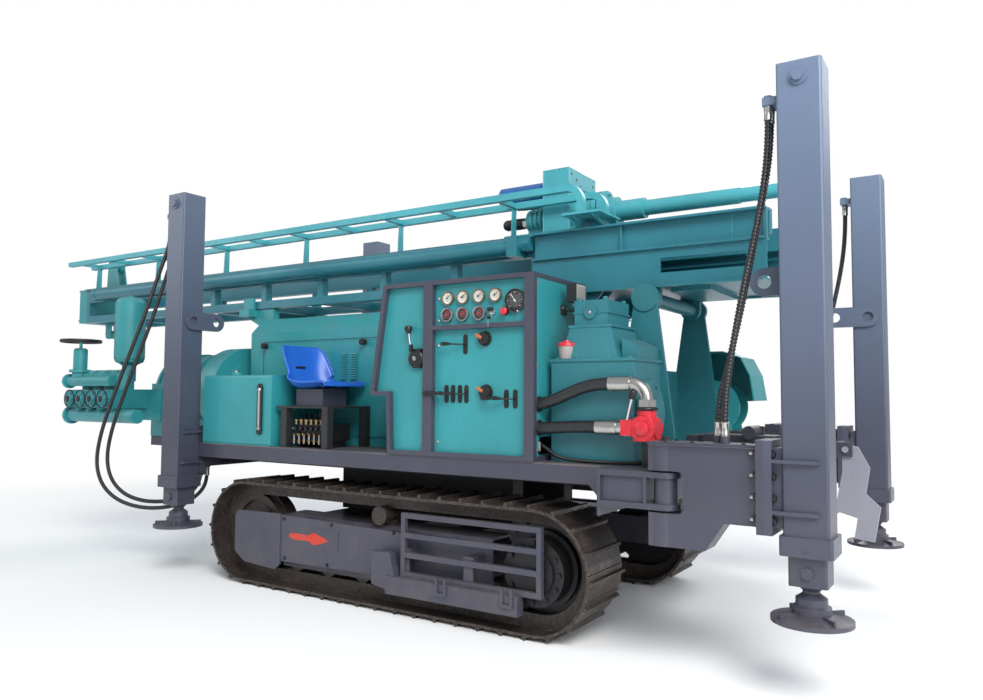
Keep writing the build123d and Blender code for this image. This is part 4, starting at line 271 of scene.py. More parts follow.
def plastic(name, colour, rough, grain=0.05):
    """Moulded plastic or rubber."""
    n = Nodes(name)
    surface = n.drift(n.noise(3, 3), srgb(*colour), 0.9, 1.1)
    marks = n.noise(28, 7, 0.7)
    n.set(Base_Color=n.mix(n.mask(marks, 0.58, 0.8, 0.25), surface, SOIL))
    n.roughen(marks, rough * 0.8, rough * 1.4)
    n.bump(n.noise(380, 3), grain, 0.0005)
    return n.material


def tread_plate(name, colour):
    """Deck sheet with a raised diamond tread, scuffed and dusty."""
    n = Nodes(name)
    surface = n.drift(n.noise(2, 5), srgb(*colour), 0.8, 1.15)
    dust = n.noise(7, 9, 0.7)
    n.set(Base_Color=n.mix(n.mask(dust, 0.4, 0.7, 0.45), surface, SOIL), Roughness=0.55)
    bars = n.add("TexVoronoi", Vector=n.place, Scale=36)
    bars.distance = "MANHATTAN"
    n.bump(n.mask(bars.outputs["Distance"], 0.32, 0.18), 0.5, 0.0016)
    return n.material


def glass(name, colour):
    """Clear cover: tinted, smooth, see-through."""
    n = Nodes(name)
    n.set(Roughness=n.mask(n.noise(18, 6), 0.3, 0.9, 0.3))
    n.set(Base_Color=(*srgb(*colour), 1), Transmission_Weight=0.95, IOR=1.45)
    return n.material


TEAL = paint("teal_enamel", (45, 139, 145), rough=0.34, dust=0.16)
# Darker copy of the teal for the mast, feed cylinder and lugs: painted shade
TEAL_SHADED = paint("teal_mast_shaded_enamel", (36, 112, 126), rough=0.32, dust=0.14)
# Darker copy of the cast teal for the gearbox and tower under the mast: painted shade
TEAL_CAST_SHADED = paint("teal_casting_shaded", (38, 112, 122), rough=0.42, dust=0.24, cast=0.35)
TEAL_PUMP = paint("teal_pump_casting", (44, 138, 143), rough=0.4, dust=0.2, cast=0.45)
# Lighter copy of the teal for the head, rod and ladder: painted light from the sky above
TEAL_LIT = paint("teal_head_lit_enamel", (66, 156, 166), rough=0.34, dust=0.12)
GREY = paint("frame_enamel", (60, 61, 75), rough=0.4, dust=0.2)
# Leg enamels carry a painted sky reflection higher up; the left legs' copy is darker, as painted shade
LEG_GREY = paint("leg_enamel", (64, 66, 82), rough=0.36, dust=0.14, sky_sheen=0.42)
LEFT_LEG_SHADED_GREY = paint("left_leg_shaded_enamel", (58, 60, 75), rough=0.36, dust=0.14, sky_sheen=0.24)
TABLE_GREY = paint("table_enamel", (52, 53, 64), rough=0.5, dust=0.3)
DARK = paint("dark_enamel", (30, 31, 34), rough=0.5, dust=0.2, worn=0.15)
LIGHT = paint("light_enamel", (132, 134, 144), rough=0.42, dust=0.25)
RED = paint("red_enamel", (204, 34, 50), rough=0.3, dust=0.1, worn=0.2)
BLUE = paint("motor_enamel", (30, 92, 158), rough=0.36, dust=0.12)
ARROW = paint("arrow_paint", (196, 46, 20), rough=0.5, dust=0.3, worn=0.1)
SHOE = track_metal("track_steel")
STEEL = metal("machined_steel", (182, 182, 184), rough=0.26)
CHROME = metal("chrome_plate", (214, 214, 216), rough=0.12, stain=0.08)
ZINC = metal("zinc_fitting", (198, 197, 192), rough=0.26, stain=0.3, stain_colour=(140, 118, 84))
COPPER = metal("copper_fitting", (178, 112, 92), rough=0.4, stain=0.4)
DULL_BRASS = metal("dull_brass", (150, 128, 92), rough=0.4, stain=0.5)
BRASS = metal("brass_fitting", (196, 150, 84), rough=0.3)
DARK_STEEL = metal("dark_steel", (70, 70, 74), rough=0.45, stain=0.4)
SEAT_BLUE = plastic("seat_plastic", (32, 96, 190), rough=0.3)
RUBBER = plastic("hose_rubber", (30, 31, 34), rough=0.34, grain=0.15)
BLACK = plastic("black_plastic", (22, 22, 24), rough=0.38, grain=0.1)
WHITE = plastic("white_plastic", (224, 222, 212), rough=0.45)
ORANGE = plastic("orange_plastic", (178, 100, 54), rough=0.4)
LAMP_SILVER = plastic("lamp_silver", (224, 220, 214), rough=0.28)
CUP_GREY = plastic("cup_plastic", (150, 146, 142), rough=0.4)
LENS = glass("clear_lens", (244, 246, 248))
DECK = tread_plate("deck_tread", (72, 71, 82))

LOOK = {
    "frame_grey": GREY,
    "teal": TEAL,
    "track_steel": SHOE,
    "bare_steel": STEEL,
    "seat_blue": SEAT_BLUE,
    "red_paint": RED,
    "dark_parts": DARK,
    "light_grey": LIGHT,
    "hose_black": RUBBER,
    "blue_paint": BLUE,
}
# Nodes whose finish differs from that of their slot; some are darker or lighter copies of the teal, and the
# car body's dark, as painted shade or painted light
SPECIAL = {}
for special, names in (
    (DECK, ("deck_plate",)),
    (TEAL_PUMP, ("pump_fluid_end", "pump_power_end")),
    # Mast parts in the darker teal copy, as painted shade
    (TEAL_SHADED, ("mast_beam", "feed_cylinder", "mast_lugs")),
    # Gearbox and tower in the darker cast teal, as painted shade
    (TEAL_CAST_SHADED, ("transfer_gearbox", "mast_tower")),
    # Head, rod and ladder in the lighter teal copy, as painted light
    (TEAL_LIT, ("head_gearbox", "drill_rod", "mast_ladder")),
    (TABLE_GREY, ("drill_table",)),
    # The car body gets the dark enamel as painted shade, for the shadow between the deck and the tracks
    (DARK, ("seat_stand", "car_body", "lift_barrels")),
    (DARK_STEEL, ("valve_bank", "sprockets")),
    (CHROME, ("lift_rods",)),
    (ZINC, ("valve_fittings",)),
    (STEEL, ("gauges",)),
    # Right legs lit, left legs in a darker copy of the same paint as painted shade
    (LEG_GREY, ("leg_tube_right_near", "leg_tube_right_far")),
    (LEFT_LEG_SHADED_GREY, ("leg_tube_left_near", "leg_tube_left_far")),
):
    SPECIAL.update(dict.fromkeys(names, special))


def dress_nodes():
    """Give every CAD node the material of its slot, or the one listed for it in SPECIAL."""
    for part in frame["record"]["subparts"]:
        node = NODES[part["node"]]
        look = SPECIAL.get(part["node"], LOOK[part["material_slot"]])
        for index in range(max(1, len(node.material_slots))):
            if len(node.material_slots) <= index:
                node.data.materials.append(look)
            node.material_slots[index].link = "OBJECT"
            node.material_slots[index].material = look


dress_nodes()


# Mesh tools. Directions and the main body first; near is the side that the photograph shows

NEAR = (0, -1, 0)
FAR = (0, 1, 0)
UP = (0, 0, 1)
DOWN = (0, 0, -1)
LEFT = (-1, 0, 0)
RIGHT = (1, 0, 0)
BODY = "chassis"
# Ripples of a weld bead or a ribbed hose, in radians per metre
RIPPLE = 420
WELD_STEP = 0.006


def across(direction):
    """A direction's unit vector and two more at right angles to it."""
    along = Vector(direction).normalized()
    side = along.orthogonal().normalized()
    return along, side, along.cross(side)


def around(count, radius, turn=0.0):
    """Pairs of offsets evenly round a circle; turn shifts them by a part of one step."""
    angles = [2 * math.pi * (k + turn) / count for k in range(count)]
    return [(radius * math.cos(a), radius * math.sin(a)) for a in angles]


def pill(x, y, bottom, top, radius, steps=16):
    """Outline of an upright slot with round ends, whose centres are at bottom and top."""
    points = []
    for start, z in ((0, top), (math.pi, bottom)):
        for k in range(steps + 1):
            angle = start + math.pi * k / steps
            points.append((x + radius * math.cos(angle), y, z + radius * math.sin(angle)))
    return points


def add_box(bm, low, high):
    """A box between two corners."""
    verts = [
        bm.verts.new((x, y, z))
        for x in (low[0], high[0])
        for y in (low[1], high[1])
        for z in (low[2], high[2])
    ]
    for quad in ((0, 1, 3, 2), (4, 6, 7, 5), (0, 4, 5, 1), (2, 3, 7, 6), (0, 2, 6, 4), (1, 5, 7, 3)):
        bm.faces.new([verts[i] for i in quad])


def add_prism(bm, outline, depth):
    """A flat outline of points, thickened by the vector depth."""
    near = [bm.verts.new(point) for point in outline]
    far = [bm.verts.new(vert.co + Vector(depth)) for vert in near]
    bm.faces.new(near)
    bm.faces.new(list(reversed(far)))
    for i in range(len(near)):
        k = (i + 1) % len(near)
        bm.faces.new((near[i], far[i], far[k], near[k]))


def hoop(bm, centre, side, up, radius, sides):
    """A ring of vertices round a centre, in the plane of side and up."""
    angles = [2 * math.pi * k / sides for k in range(sides)]
    return [bm.verts.new(centre + (side * math.cos(a) + up * math.sin(a)) * radius) for a in angles]


def join_rings(bm, rings):
    """Faces from each ring to the next; a ring can also be a single point."""
    for low, high in zip(rings, rings[1:]):
        sides = max(len(low), len(high))
        for k in range(sides):
            n = (k + 1) % sides
            if len(low) == 1:
                bm.faces.new((low[0], high[k], high[n]))
            elif len(high) == 1:
                bm.faces.new((low[k], high[0], low[n]))
            else:
                bm.faces.new((low[k], high[k], high[n], low[n]))


def add_turned(bm, profile, origin, direction, sides=24, hollow=False):
    """A body turned about an axis, closed at its ends; the profile is radius and distance along the axis."""
    points = list(profile)
    if not hollow:
        (first, start), (last, end) = points[0], points[-1]
        points = [(0, start)] * bool(first) + points + [(0, end)] * bool(last)
    along, side, up = across(direction)
    rings = []
    for radius, distance in points:
        centre = Vector(origin) + along * distance
        rings.append(hoop(bm, centre, side, up, radius, sides) if radius else [bm.verts.new(centre)])
    join_rings(bm, rings)


def add_disc(bm, place, direction, radius, thickness, sides, top=None):
    """A flat disc; top is the radius of its outer face where that differs."""
    if top is None:
        top = radius
    add_turned(bm, ((radius, 0), (top, thickness)), place, direction, sides)


def add_rod(bm, start, end, radius, sides=16):
    """A round bar between two points, with small chamfers."""
    length = (Vector(end) - Vector(start)).length
    soft = min(radius * 0.15, length * 0.2)
    neck = radius - soft
    profile = ((neck, 0), (radius, soft), (radius, length - soft), (neck, length))
    add_turned(bm, profile, start, Vector(end) - Vector(start), sides)


def add_bolt(bm, place, direction, size, washer=True):
    """A hexagon head on its washer; size is the head's radius."""
    base = 0.0
    if washer:
        base = size * 0.2
        add_disc(bm, place, direction, size * 1.25, base, 16)
    top = base + size * 0.7
    head = ((size, base), (size, base + size * 0.55), (size * 0.84, top))
    add_turned(bm, head, place, direction, 6)


def add_ring(bm, centre, direction, major, minor, sides=40, section=10):
    """A round ring of round bar."""
    along, side, up = across(direction)
    rings = []
    for right, high in around(sides, 1.0):
        out = side * right + up * high
        rings.append(hoop(bm, Vector(centre) + out * major, out, along, minor, section))
    join_rings(bm, rings + rings[:1])


def add_tube(bm, points, radius, sides=12):
    """A tube along points; radius is a number, or gives one for a distance along them."""
    points = [Vector(point) for point in points]
    tangent = (points[1] - points[0]).normalized()
    side = tangent.orthogonal().normalized()
    rings = []
    distance = 0.0
    for i, point in enumerate(points):
        if i:
            distance += (point - points[i - 1]).length
        heading = (points[min(i + 1, len(points) - 1)] - points[max(i - 1, 0)]).normalized()
        side = tangent.rotation_difference(heading) @ side
        side = (side - heading * side.dot(heading)).normalized()
        tangent = heading
        here = radius(distance) if callable(radius) else radius
        rings.append(hoop(bm, point, side, tangent.cross(side), here, sides))
    join_rings(bm, rings)
    bm.faces.new(list(reversed(rings[0])))
    bm.faces.new(rings[-1])


def add_weld(bm, start, end, size):
    """A rippled weld bead along a line."""
    start, end = Vector(start), Vector(end)
    count = max(4, int((end - start).length / WELD_STEP))
    points = [start.lerp(end, k / count) for k in range(count + 1)]
    add_tube(bm, points, lambda d: size * (0.8 + 0.25 * abs(math.sin(d * RIPPLE))), 6)


def piece(name, bm, look, body=BODY, bevel=0.0, sharp=32):
    """Turn a mesh under construction into a finished piece that rides on a body."""
    bmesh.ops.recalc_face_normals(bm, faces=bm.faces)
    for face in bm.faces:
        face.smooth = True
    for edge in bm.edges:
        if len(edge.link_faces) == 2 and edge.calc_face_angle(0) > math.radians(sharp):
            edge.smooth = False
    mesh = bpy.data.meshes.new(name)
    bm.to_mesh(mesh)
    bm.free()
    mesh.materials.append(look)
    made = bpy.data.objects.new(name, mesh)
    bpy.context.scene.collection.objects.link(made)
    if bevel:
        rounding = made.modifiers.new("rounding", "BEVEL")
        rounding.width = bevel
        rounding.segments = 2
        rounding.limit_method = "ANGLE"
    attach(made, body)
    return made


def drafts(count):
    """Empty meshes, for pieces that are made side by side."""
    return [bmesh.new() for _ in range(count)]


def single(name, look, add, *shape, **finish):
    """A piece of one shape: add is the tool that makes it, shape what the tool takes."""
    bm = bmesh.new()
    add(bm, *shape)
    return piece(name, bm, look, **finish)


def bolts(name, look, places, direction, size, body=BODY):
    """Many bolt heads as one piece."""
    bm = bmesh.new()
    for place in places:
        add_bolt(bm, place, direction, size)
    return piece(name, bm, look, body)


def welds(name, look, body, *beads):
    """Weld beads as one piece; each is its start, its end and its size."""
    bm = bmesh.new()
    for start, end, size in beads:
        add_weld(bm, start, end, size)
    piece(name, bm, look, body)


# Hoses of the legs. Their routes are those of the solids: X, distance from the middle, Z

HOSE_RADIUS = 0.014
HOSE_PITCH = 0.016
CURVE_STEPS = 40
HOSES = {
    "hose_right_near_a": ("arm_near", -1, 1.426, (
        (3.129, 1.030, 2.480), (3.129, 1.030, 2.318), (3.100, 1.036, 2.080), (3.040, 1.036, 1.812),
        (2.988, 1.032, 1.572), (2.951, 1.030, 1.366), (2.930, 1.030, 1.205), (2.930, 1.030, 1.072),
    )),
    "hose_right_near_b": ("arm_near", -1, 1.434, (
        (3.129, 0.980, 2.480), (3.129, 0.980, 2.330), (3.092, 0.985, 2.095), (3.034, 0.985, 1.815),
        (2.982, 0.984, 1.575), (2.930, 0.981, 1.370), (2.886, 0.980, 1.212), (2.886, 0.980, 1.072),
    )),
    "hose_right_far": ("arm_far", 1, 1.426, (
        (3.129, 1.030, 2.480), (3.129, 1.030, 2.310), (3.098, 1.034, 2.066), (3.036, 1.036, 1.792),
        (2.986, 1.033, 1.556), (2.950, 1.031, 1.358), (2.930, 1.030, 1.206), (2.930, 1.030, 1.072),
    )),
    "hose_left_near_a": ("chassis", -1, 3.041, (
        (-0.974, 0.980, 2.480), (-0.974, 0.980, 2.330), (-1.052, 1.000, 2.100), (-1.165, 1.018, 1.815),
        (-1.315, 1.032, 1.520), (-1.475, 1.040, 1.225), (-1.620, 1.036, 0.965), (-1.700, 1.018, 0.755),
        (-1.690, 0.985, 0.600), (-1.590, 0.950, 0.500), (-1.440, 0.915, 0.455), (-1.280, 0.880, 0.450),
        (-1.130, 0.845, 0.470), (-1.010, 0.815, 0.508), (-0.925, 0.797, 0.580), (-0.893, 0.791, 0.650),
        (-0.893, 0.791, 0.717),
    )),
    "hose_left_near_b": ("chassis", -1, 3.203, (
        (-0.974, 1.030, 2.480), (-0.974, 1.030, 2.325), (-1.075, 1.052, 2.090), (-1.200, 1.070, 1.800),
        (-1.360, 1.084, 1.505), (-1.525, 1.092, 1.205), (-1.672, 1.088, 0.940), (-1.752, 1.068, 0.725),
        (-1.738, 1.030, 0.565), (-1.630, 0.985, 0.460), (-1.470, 0.940, 0.412), (-1.300, 0.892, 0.402),
        (-1.140, 0.840, 0.425), (-1.010, 0.790, 0.468), (-0.925, 0.752, 0.545), (-0.893, 0.737, 0.628),
        (-0.893, 0.737, 0.717),
    )),
}


def smooth_line(name, points):
    """Points read from a NURBS spline that has the route's points as its control points."""
    curve = bpy.data.curves.new(name, "CURVE")
    curve.dimensions = "3D"
    curve.resolution_u = CURVE_STEPS
    spline = curve.splines.new("NURBS")
    spline.points.add(len(points) - 1)
    for target, point in zip(spline.points, points):
        target.co = (*point, 1)
    spline.order_u = 3
    spline.use_endpoint_u = True
    holder = bpy.data.objects.new(name, curve)
    bpy.context.scene.collection.objects.link(holder)
    mesh = bpy.data.meshes.new_from_object(holder)
    line = [vert.co.copy() for vert in mesh.vertices]
    bpy.data.objects.remove(holder)
    bpy.data.meshes.remove(mesh)
    return line


def evenly(line, step):
    """The same line with points a step apart, for the rings of a corrugated tube."""
    spaced = [line[0]]
    left = step
    for start, end in zip(line, line[1:]):
        run = (end - start).length
        while run >= left:
            start = start.lerp(end, left / run)
            spaced.append(start)
            run = (end - start).length
            left = step
        left -= run
    spaced.append(line[-1])
    return spaced


# Legs' hoses: corrugated covers with bright end sleeves

SLEEVE = (
    (0.0145, 0.0), (0.0175, 0.001), (0.0175, 0.016), (0.0165, 0.018), (0.0165, 0.050),
    (0.0175, 0.052), (0.0175, 0.060), (0.0145, 0.062), (0.0142, 0.030),
)


def corrugation(distance):
    """Radius of a spiral guarded hose: narrow grooves between round ridges."""
    wave = abs(math.cos(math.pi * distance / HOSE_PITCH))
    return HOSE_RADIUS * (1.06 - 0.26 * wave ** 3)


def leg_hoses():
    for name, (body, side, length, route) in HOSES.items():
        points = [(x, side * y, z) for x, y, z in route]
        line = smooth_line(f"{name}_line", points)
        path = evenly(line, HOSE_PITCH / 6)
        hose = single(f"{name}_cover", RUBBER, add_tube, path, corrugation, body=body, sharp=70)
        bm = bmesh.new()
        for first, then in ((line[0], line[4]), (line[-1], line[-5])):
            add_turned(bm, SLEEVE, first, (then - first).normalized(), 20, hollow=True)
        sleeves = piece(f"{name}_sleeves", bm, ZINC, body)
        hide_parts(name)


leg_hoses()


# Seat: a one-piece bucket of thin plastic, its sheet drawn between a front lip and a rounded back.
# Columns: X and Z of the centre line, half width, how far the sides curl towards the sitter

SEAT_STATIONS = (
    (0.414, 1.300, 0.176, 0.004),
    (0.404, 1.316, 0.188, 0.008),
    (0.352, 1.306, 0.196, 0.018),
    (0.250, 1.288, 0.198, 0.034),
    (0.150, 1.281, 0.198, 0.050),
    (0.080, 1.290, 0.198, 0.072),
    (0.040, 1.326, 0.198, 0.094),
    (0.018, 1.390, 0.197, 0.092),
    (0.006, 1.460, 0.194, 0.072),
    (0.001, 1.515, 0.186, 0.050),
    (-0.002, 1.545, 0.166, 0.028),
    (-0.005, 1.558, 0.134, 0.012),
)
SEAT_COLUMNS = 28
SEAT_STEPS = 6
SEAT_SHEET = 0.007
SEAT_RIM = 0.0065


def smooth_values(values, count):
    """Smooth in-between values along a list, count steps from each to the next."""
    made = []
    for i in range(len(values) - 1):
        a, b, c = values[max(i - 1, 0)], values[i], values[i + 1]
        d = values[min(i + 2, len(values) - 1)]
        for k in range(count):
            t = k / count
            bend = (2 * a - 5 * b + 4 * c - d) * t ** 2 + (3 * b - a - 3 * c + d) * t ** 3
            made.append(0.5 * (2 * b + (c - a) * t + bend))
    made.append(values[-1])
    return made


def seat_rows(middle):
    """Rows of points across the seat's sheet, from its front lip to the top of its back."""
    columns = [smooth_values(values, SEAT_STEPS) for values in zip(*SEAT_STATIONS)]
    xs, zs = columns[:2]
    rows = []
    for i, (x, z, half, curl) in enumerate(zip(*columns)):
        before, after = max(i - 1, 0), min(i + 1, len(xs) - 1)
        inward = Vector((zs[after] - zs[before], 0, xs[before] - xs[after])).normalized()
        row = []
        for k in range(SEAT_COLUMNS + 1):
            sideways = 2 * k / SEAT_COLUMNS - 1
            row.append(Vector((x, middle + sideways * half, z)) + inward * curl * abs(sideways) ** 3.5)
        rows.append(row)
    return rows


def seat():
    low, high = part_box("seat")
    middle = (low.y + high.y) / 2
    rows = seat_rows(middle)
    bm = bmesh.new()
    verts = [[bm.verts.new(point) for point in row] for row in rows]
    for first, then in zip(verts, verts[1:]):
        for k in range(SEAT_COLUMNS):
            bm.faces.new((first[k], first[k + 1], then[k + 1], then[k]))
    shell = piece("seat_shell", bm, SEAT_BLUE, sharp=80)
    sheet = shell.modifiers.new("sheet", "SOLIDIFY")
    sheet.thickness = SEAT_SHEET
    sheet.offset = 0
    # Rolled rim all round the sheet
    outline = [row[0] for row in rows] + rows[-1][1:-1] + [row[-1] for row in reversed(rows)]
    outline += list(reversed(rows[0][1:-1])) + [rows[0][0]]
    single("seat_rim", SEAT_BLUE, add_tube, outline, SEAT_RIM, 10, sharp=80)
    base = ((0.095, middle - 0.11, 1.168), (0.330, middle + 0.11, 1.279))
    mount = single("seat_mount", GREY, add_box, *base, bevel=0.003)
    places = [(x, y, 1.290) for x in (0.13, 0.295) for y in (middle - 0.07, middle + 0.07)]
    fasteners = bolts("seat_bolts", ZINC, places, UP, 0.008)
    # Grip slot in the back, filled with a black box as painted shade
    grip = ((0.006, middle - 0.045, 1.412), (0.0185, middle + 0.045, 1.430))
    slot = single("seat_slot_shade", BLACK, add_box, *grip, bevel=0.004)
    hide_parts("seat")


# Control cabinet: dials, levers, knobs, switches, throttle and screws on its near face

DIAL_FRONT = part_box("gauges")[0].y
CABINET_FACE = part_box("gauges")[1].y
SMALL_DIALS = ((1.363, 1.781), (1.464, 1.781), (1.570, 1.781), (1.676, 1.781))
DARK_DIALS = ((1.360, 1.688), (1.465, 1.688), (1.574, 1.688))
DIAL_RADIUS = 0.033
BIG_DIAL = (1.801, 1.744)
BIG_DIAL_RADIUS = 0.057
DIAL_MARKS = 24
DIAL_SWEEP = 270
PANEL_SCREW = 0.0075


def add_hand(bm, place, angle, inner, outer, width, thickness=0.0012):
    """A flat bar that points outward from a dial's middle; angle 0 is up, clockwise."""
    along = Vector((math.sin(angle), 0, math.cos(angle)))
    side = Vector((math.cos(angle), 0, -math.sin(angle)))
    centre = Vector(place)
    ends = ((inner, -width), (inner, width), (outer, width), (outer, -width))
    corners = [centre + along * distance + side * sideways / 2 for distance, sideways in ends]
    add_prism(bm, corners, (0, thickness, 0))


def dials():
    sheet = CABINET_FACE - 0.017
    for kind, places, face, ink, rim, radius, needle in (
        ("white", SMALL_DIALS, WHITE, BLACK, DULL_BRASS, DIAL_RADIUS, 0.85),
        ("dark", DARK_DIALS, BLACK, RED, STEEL, DIAL_RADIUS, 1.0),
        ("big", (BIG_DIAL,), BLACK, WHITE, BLACK, BIG_DIAL_RADIUS, -0.6),
    ):
        inside, outside, shoulder = radius - 0.0035, radius + 0.0058, radius - 0.001
        bezel = (
            (inside, 0.006), (shoulder, 0.0005), (radius + 0.0035, 0), (outside, 0.002),
            (outside, 0.010), (shoulder, 0.010), (inside, 0.006),
        )
        pane = ((0, 0.001), (radius * 0.98, 0.0025), (radius * 0.98, 0.004), (0, 0.0025))
        faces, marks, rims, panes = drafts(4)
        for x, z in places:
            add_disc(faces, (x, sheet - 0.001, z), FAR, radius, 0.002, 40)
            for k in range(DIAL_MARKS + 1):
                angle = math.radians(-DIAL_SWEEP / 2 + k * DIAL_SWEEP / DIAL_MARKS)
                inner, width = (0.66, 0.0012) if k % 4 == 0 else (0.76, 0.0007)
                add_hand(marks, (x, sheet - 0.0022, z), angle, radius * inner, radius * 0.86, width)
            add_hand(marks, (x, sheet - 0.0045, z), needle, -radius * 0.25, radius * 0.74, 0.0026)
            hub = ((0.005, 0), (0.005, 0.003), (0, 0.004))
            add_turned(marks, hub, (x, sheet - 0.0022, z), NEAR, 16)
            add_turned(rims, bezel, (x, DIAL_FRONT - 0.0006, z), FAR, 48, hollow=True)
            add_turned(panes, pane, (x, DIAL_FRONT + 0.002, z), FAR, 40)
        piece(f"dial_faces_{kind}", faces, face)
        piece(f"dial_marks_{kind}", marks, ink)
        piece(f"dial_rims_{kind}", rims, rim, sharp=50)
        piece(f"dial_glass_{kind}", panes, LENS)


# Levers: X and Z of the slot's middle, its height, and whether the lever reaches far out
LEVER_SLOTS = (
    (1.477, 1.522, 0.11, True),
    (1.352, 1.250, 0.10, True),
    (1.396, 1.250, 0.10, False),
    (1.443, 1.250, 0.10, False),
    (1.486, 1.250, 0.10, False),
    (1.742, 1.225, 0.10, True),
    (1.797, 1.225, 0.10, False),
)
LEVER_REACH = 0.135
SHORT_REACH = LEVER_REACH * 0.86
SLOT_RADIUS = 0.014
KNOBS = ((1.607, 1.548), (1.616, 1.261))
KNOB_TURN = math.radians(-62)


def cabinet_levers():
    slots, rods, grips = drafts(3)
    grip = (
        (0, 0), (0.007, 0.001), (0.0085, 0.012), (0.011, 0.030), (0.0115, 0.046), (0.008, 0.056), (0, 0.058),
    )
    for x, z, height, alone in LEVER_SLOTS:
        bottom = z - height / 2 + SLOT_RADIUS
        top = z + height / 2 - SLOT_RADIUS
        add_prism(slots, pill(x, CABINET_FACE + 0.0005, bottom, top, SLOT_RADIUS), (0, -0.0035, 0))
        reach = LEVER_REACH if alone else SHORT_REACH
        start = Vector((x, CABINET_FACE, z))
        neck = start + Vector((-0.008, -0.018, 0))
        bend = start + Vector((-0.030, -0.030, 0.0))
        knee = start + Vector((-reach * 0.55, -0.046, 0.002))
        end = start + Vector((-reach, -0.050, 0.004))
        add_tube(rods, (start, neck, bend, knee, end), 0.0042, 10)
        add_turned(grips, grip, knee, end - knee, 16)
    piece("cabinet_slots", slots, BLACK)
    piece("cabinet_lever_rods", rods, DARK_STEEL)
    piece("cabinet_lever_grips", grips, BLACK, sharp=50)


def cabinet_knobs():
    bodies, marks = drafts(2)
    rim = ((0.041, 0), (0.041, 0.004), (0.037, 0.007), (0.034, 0.007), (0.034, 0.026), (0.031, 0.030))
    rib = ((0.0028, 0), (0.0028, 0.018), (0, 0.020))
    for x, z in KNOBS:
        add_turned(bodies, rim, (x, CABINET_FACE, z), NEAR, 40)
        for dx, dz in around(20, 0.034):
            add_turned(bodies, rib, (x + dx, CABINET_FACE - 0.007, z + dz), NEAR, 8)
        add_hand(marks, (x, CABINET_FACE - 0.034, z), KNOB_TURN, 0.008, 0.050, 0.017, 0.008)
    piece("cabinet_knobs", bodies, BLACK, sharp=40)
    piece("cabinet_knob_marks", marks, ORANGE, bevel=0.002)


def cabinet_switches():
    face = CABINET_FACE
    lock = (1.655, face, 1.690)
    toggle = (1.812, face, 1.690)
    button = (1.736, face, 1.689)
    chrome = bmesh.new()
    collar = ((0.017, 0), (0.017, 0.004), (0.014, 0.010), (0.008, 0.012))
    add_turned(chrome, collar, lock, NEAR, 28)
    # Key in the switch, its ring and the spare that hangs from it
    add_box(chrome, (1.6535, face - 0.040, 1.678), (1.6565, face - 0.012, 1.690))
    add_ring(chrome, (1.655, face - 0.034, 1.668), (0.3, 1, 0), 0.012, 0.0012, 28, 8)
    add_box(chrome, (1.642, face - 0.036, 1.612), (1.650, face - 0.034, 1.658))
    add_disc(chrome, toggle, NEAR, 0.013, 0.004, 24)
    add_rod(chrome, (1.812, face - 0.004, 1.690), (1.822, face - 0.026, 1.686), 0.004)
    piece("cabinet_key_switch", chrome, CHROME, sharp=40)
    black = bmesh.new()
    add_box(black, (1.634, face - 0.030, 1.694), (1.662, face - 0.010, 1.714))
    add_box(black, (1.640, face - 0.040, 1.650), (1.664, face - 0.033, 1.668))
    add_turned(black, ((0.021, 0), (0.021, 0.005), (0.018, 0.008)), button, NEAR, 32)
    piece("cabinet_switch_caps", black, BLACK, bevel=0.002)
    cap = ((0.013, 0.006), (0.013, 0.018), (0.020, 0.022), (0.021, 0.028), (0.016, 0.034), (0, 0.036))
    single("cabinet_stop_button", RED, add_turned, cap, button, NEAR, 32, sharp=50)


def throttle():
    """Hand throttle on the cabinet's narrow left panel: a black quadrant, a bright rod and a knob."""
    face = CABINET_FACE
    pivot = (1.146, face, 1.450)
    black = bmesh.new()
    quadrant = ((0.050, 0), (0.052, 0.004), (0.052, 0.022), (0.046, 0.028), (0.020, 0.030))
    add_turned(black, quadrant, pivot, NEAR, 40)
    add_box(black, (1.130, face - 0.024, 1.395), (1.182, face, 1.505))
    add_box(black, (1.112, face - 0.040, 1.490), (1.132, face - 0.026, 1.530))
    knob = (
        (0, 0), (0.011, 0.001), (0.014, 0.008), (0.023, 0.024), (0.024, 0.034), (0.018, 0.044), (0, 0.048),
    )
    add_turned(black, knob, (1.104, face - 0.034, 1.592), (-0.06, 0, 1), 24)
    piece("throttle_body", black, BLACK, sharp=40)
    bright = bmesh.new()
    add_rod(bright, (1.120, face - 0.034, 1.50), (1.104, face - 0.034, 1.597), 0.0055)
    add_turned(bright, ((0.012, 0.028), (0.012, 0.034), (0, 0.036)), pivot, NEAR, 20)
    piece("throttle_rod", bright, CHROME)


def cabinet_screws():
    front = [(1.292, CABINET_FACE, z) for z in (1.784, 1.660, 1.520, 1.245, 0.985)]
    front += [(1.190, CABINET_FACE, z) for z in (1.78, 1.54, 1.32, 0.985)]
    bolts("cabinet_screws_front", ZINC, front, NEAR, PANEL_SCREW)
    side_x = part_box("cabinet_panels")[1].x
    side = [(side_x, y, z) for y in (-0.880, -0.482) for z in (1.835, 1.40, 0.96)]
    bolts("cabinet_screws_side", ZINC, side, RIGHT, PANEL_SCREW)


# Lamp: a bright reflector with small lenses, and the bolts of its knuckle and foot

LAMP_GRID = 4
LAMP_WIDTH = 0.060
LAMP_HEIGHT = 0.1


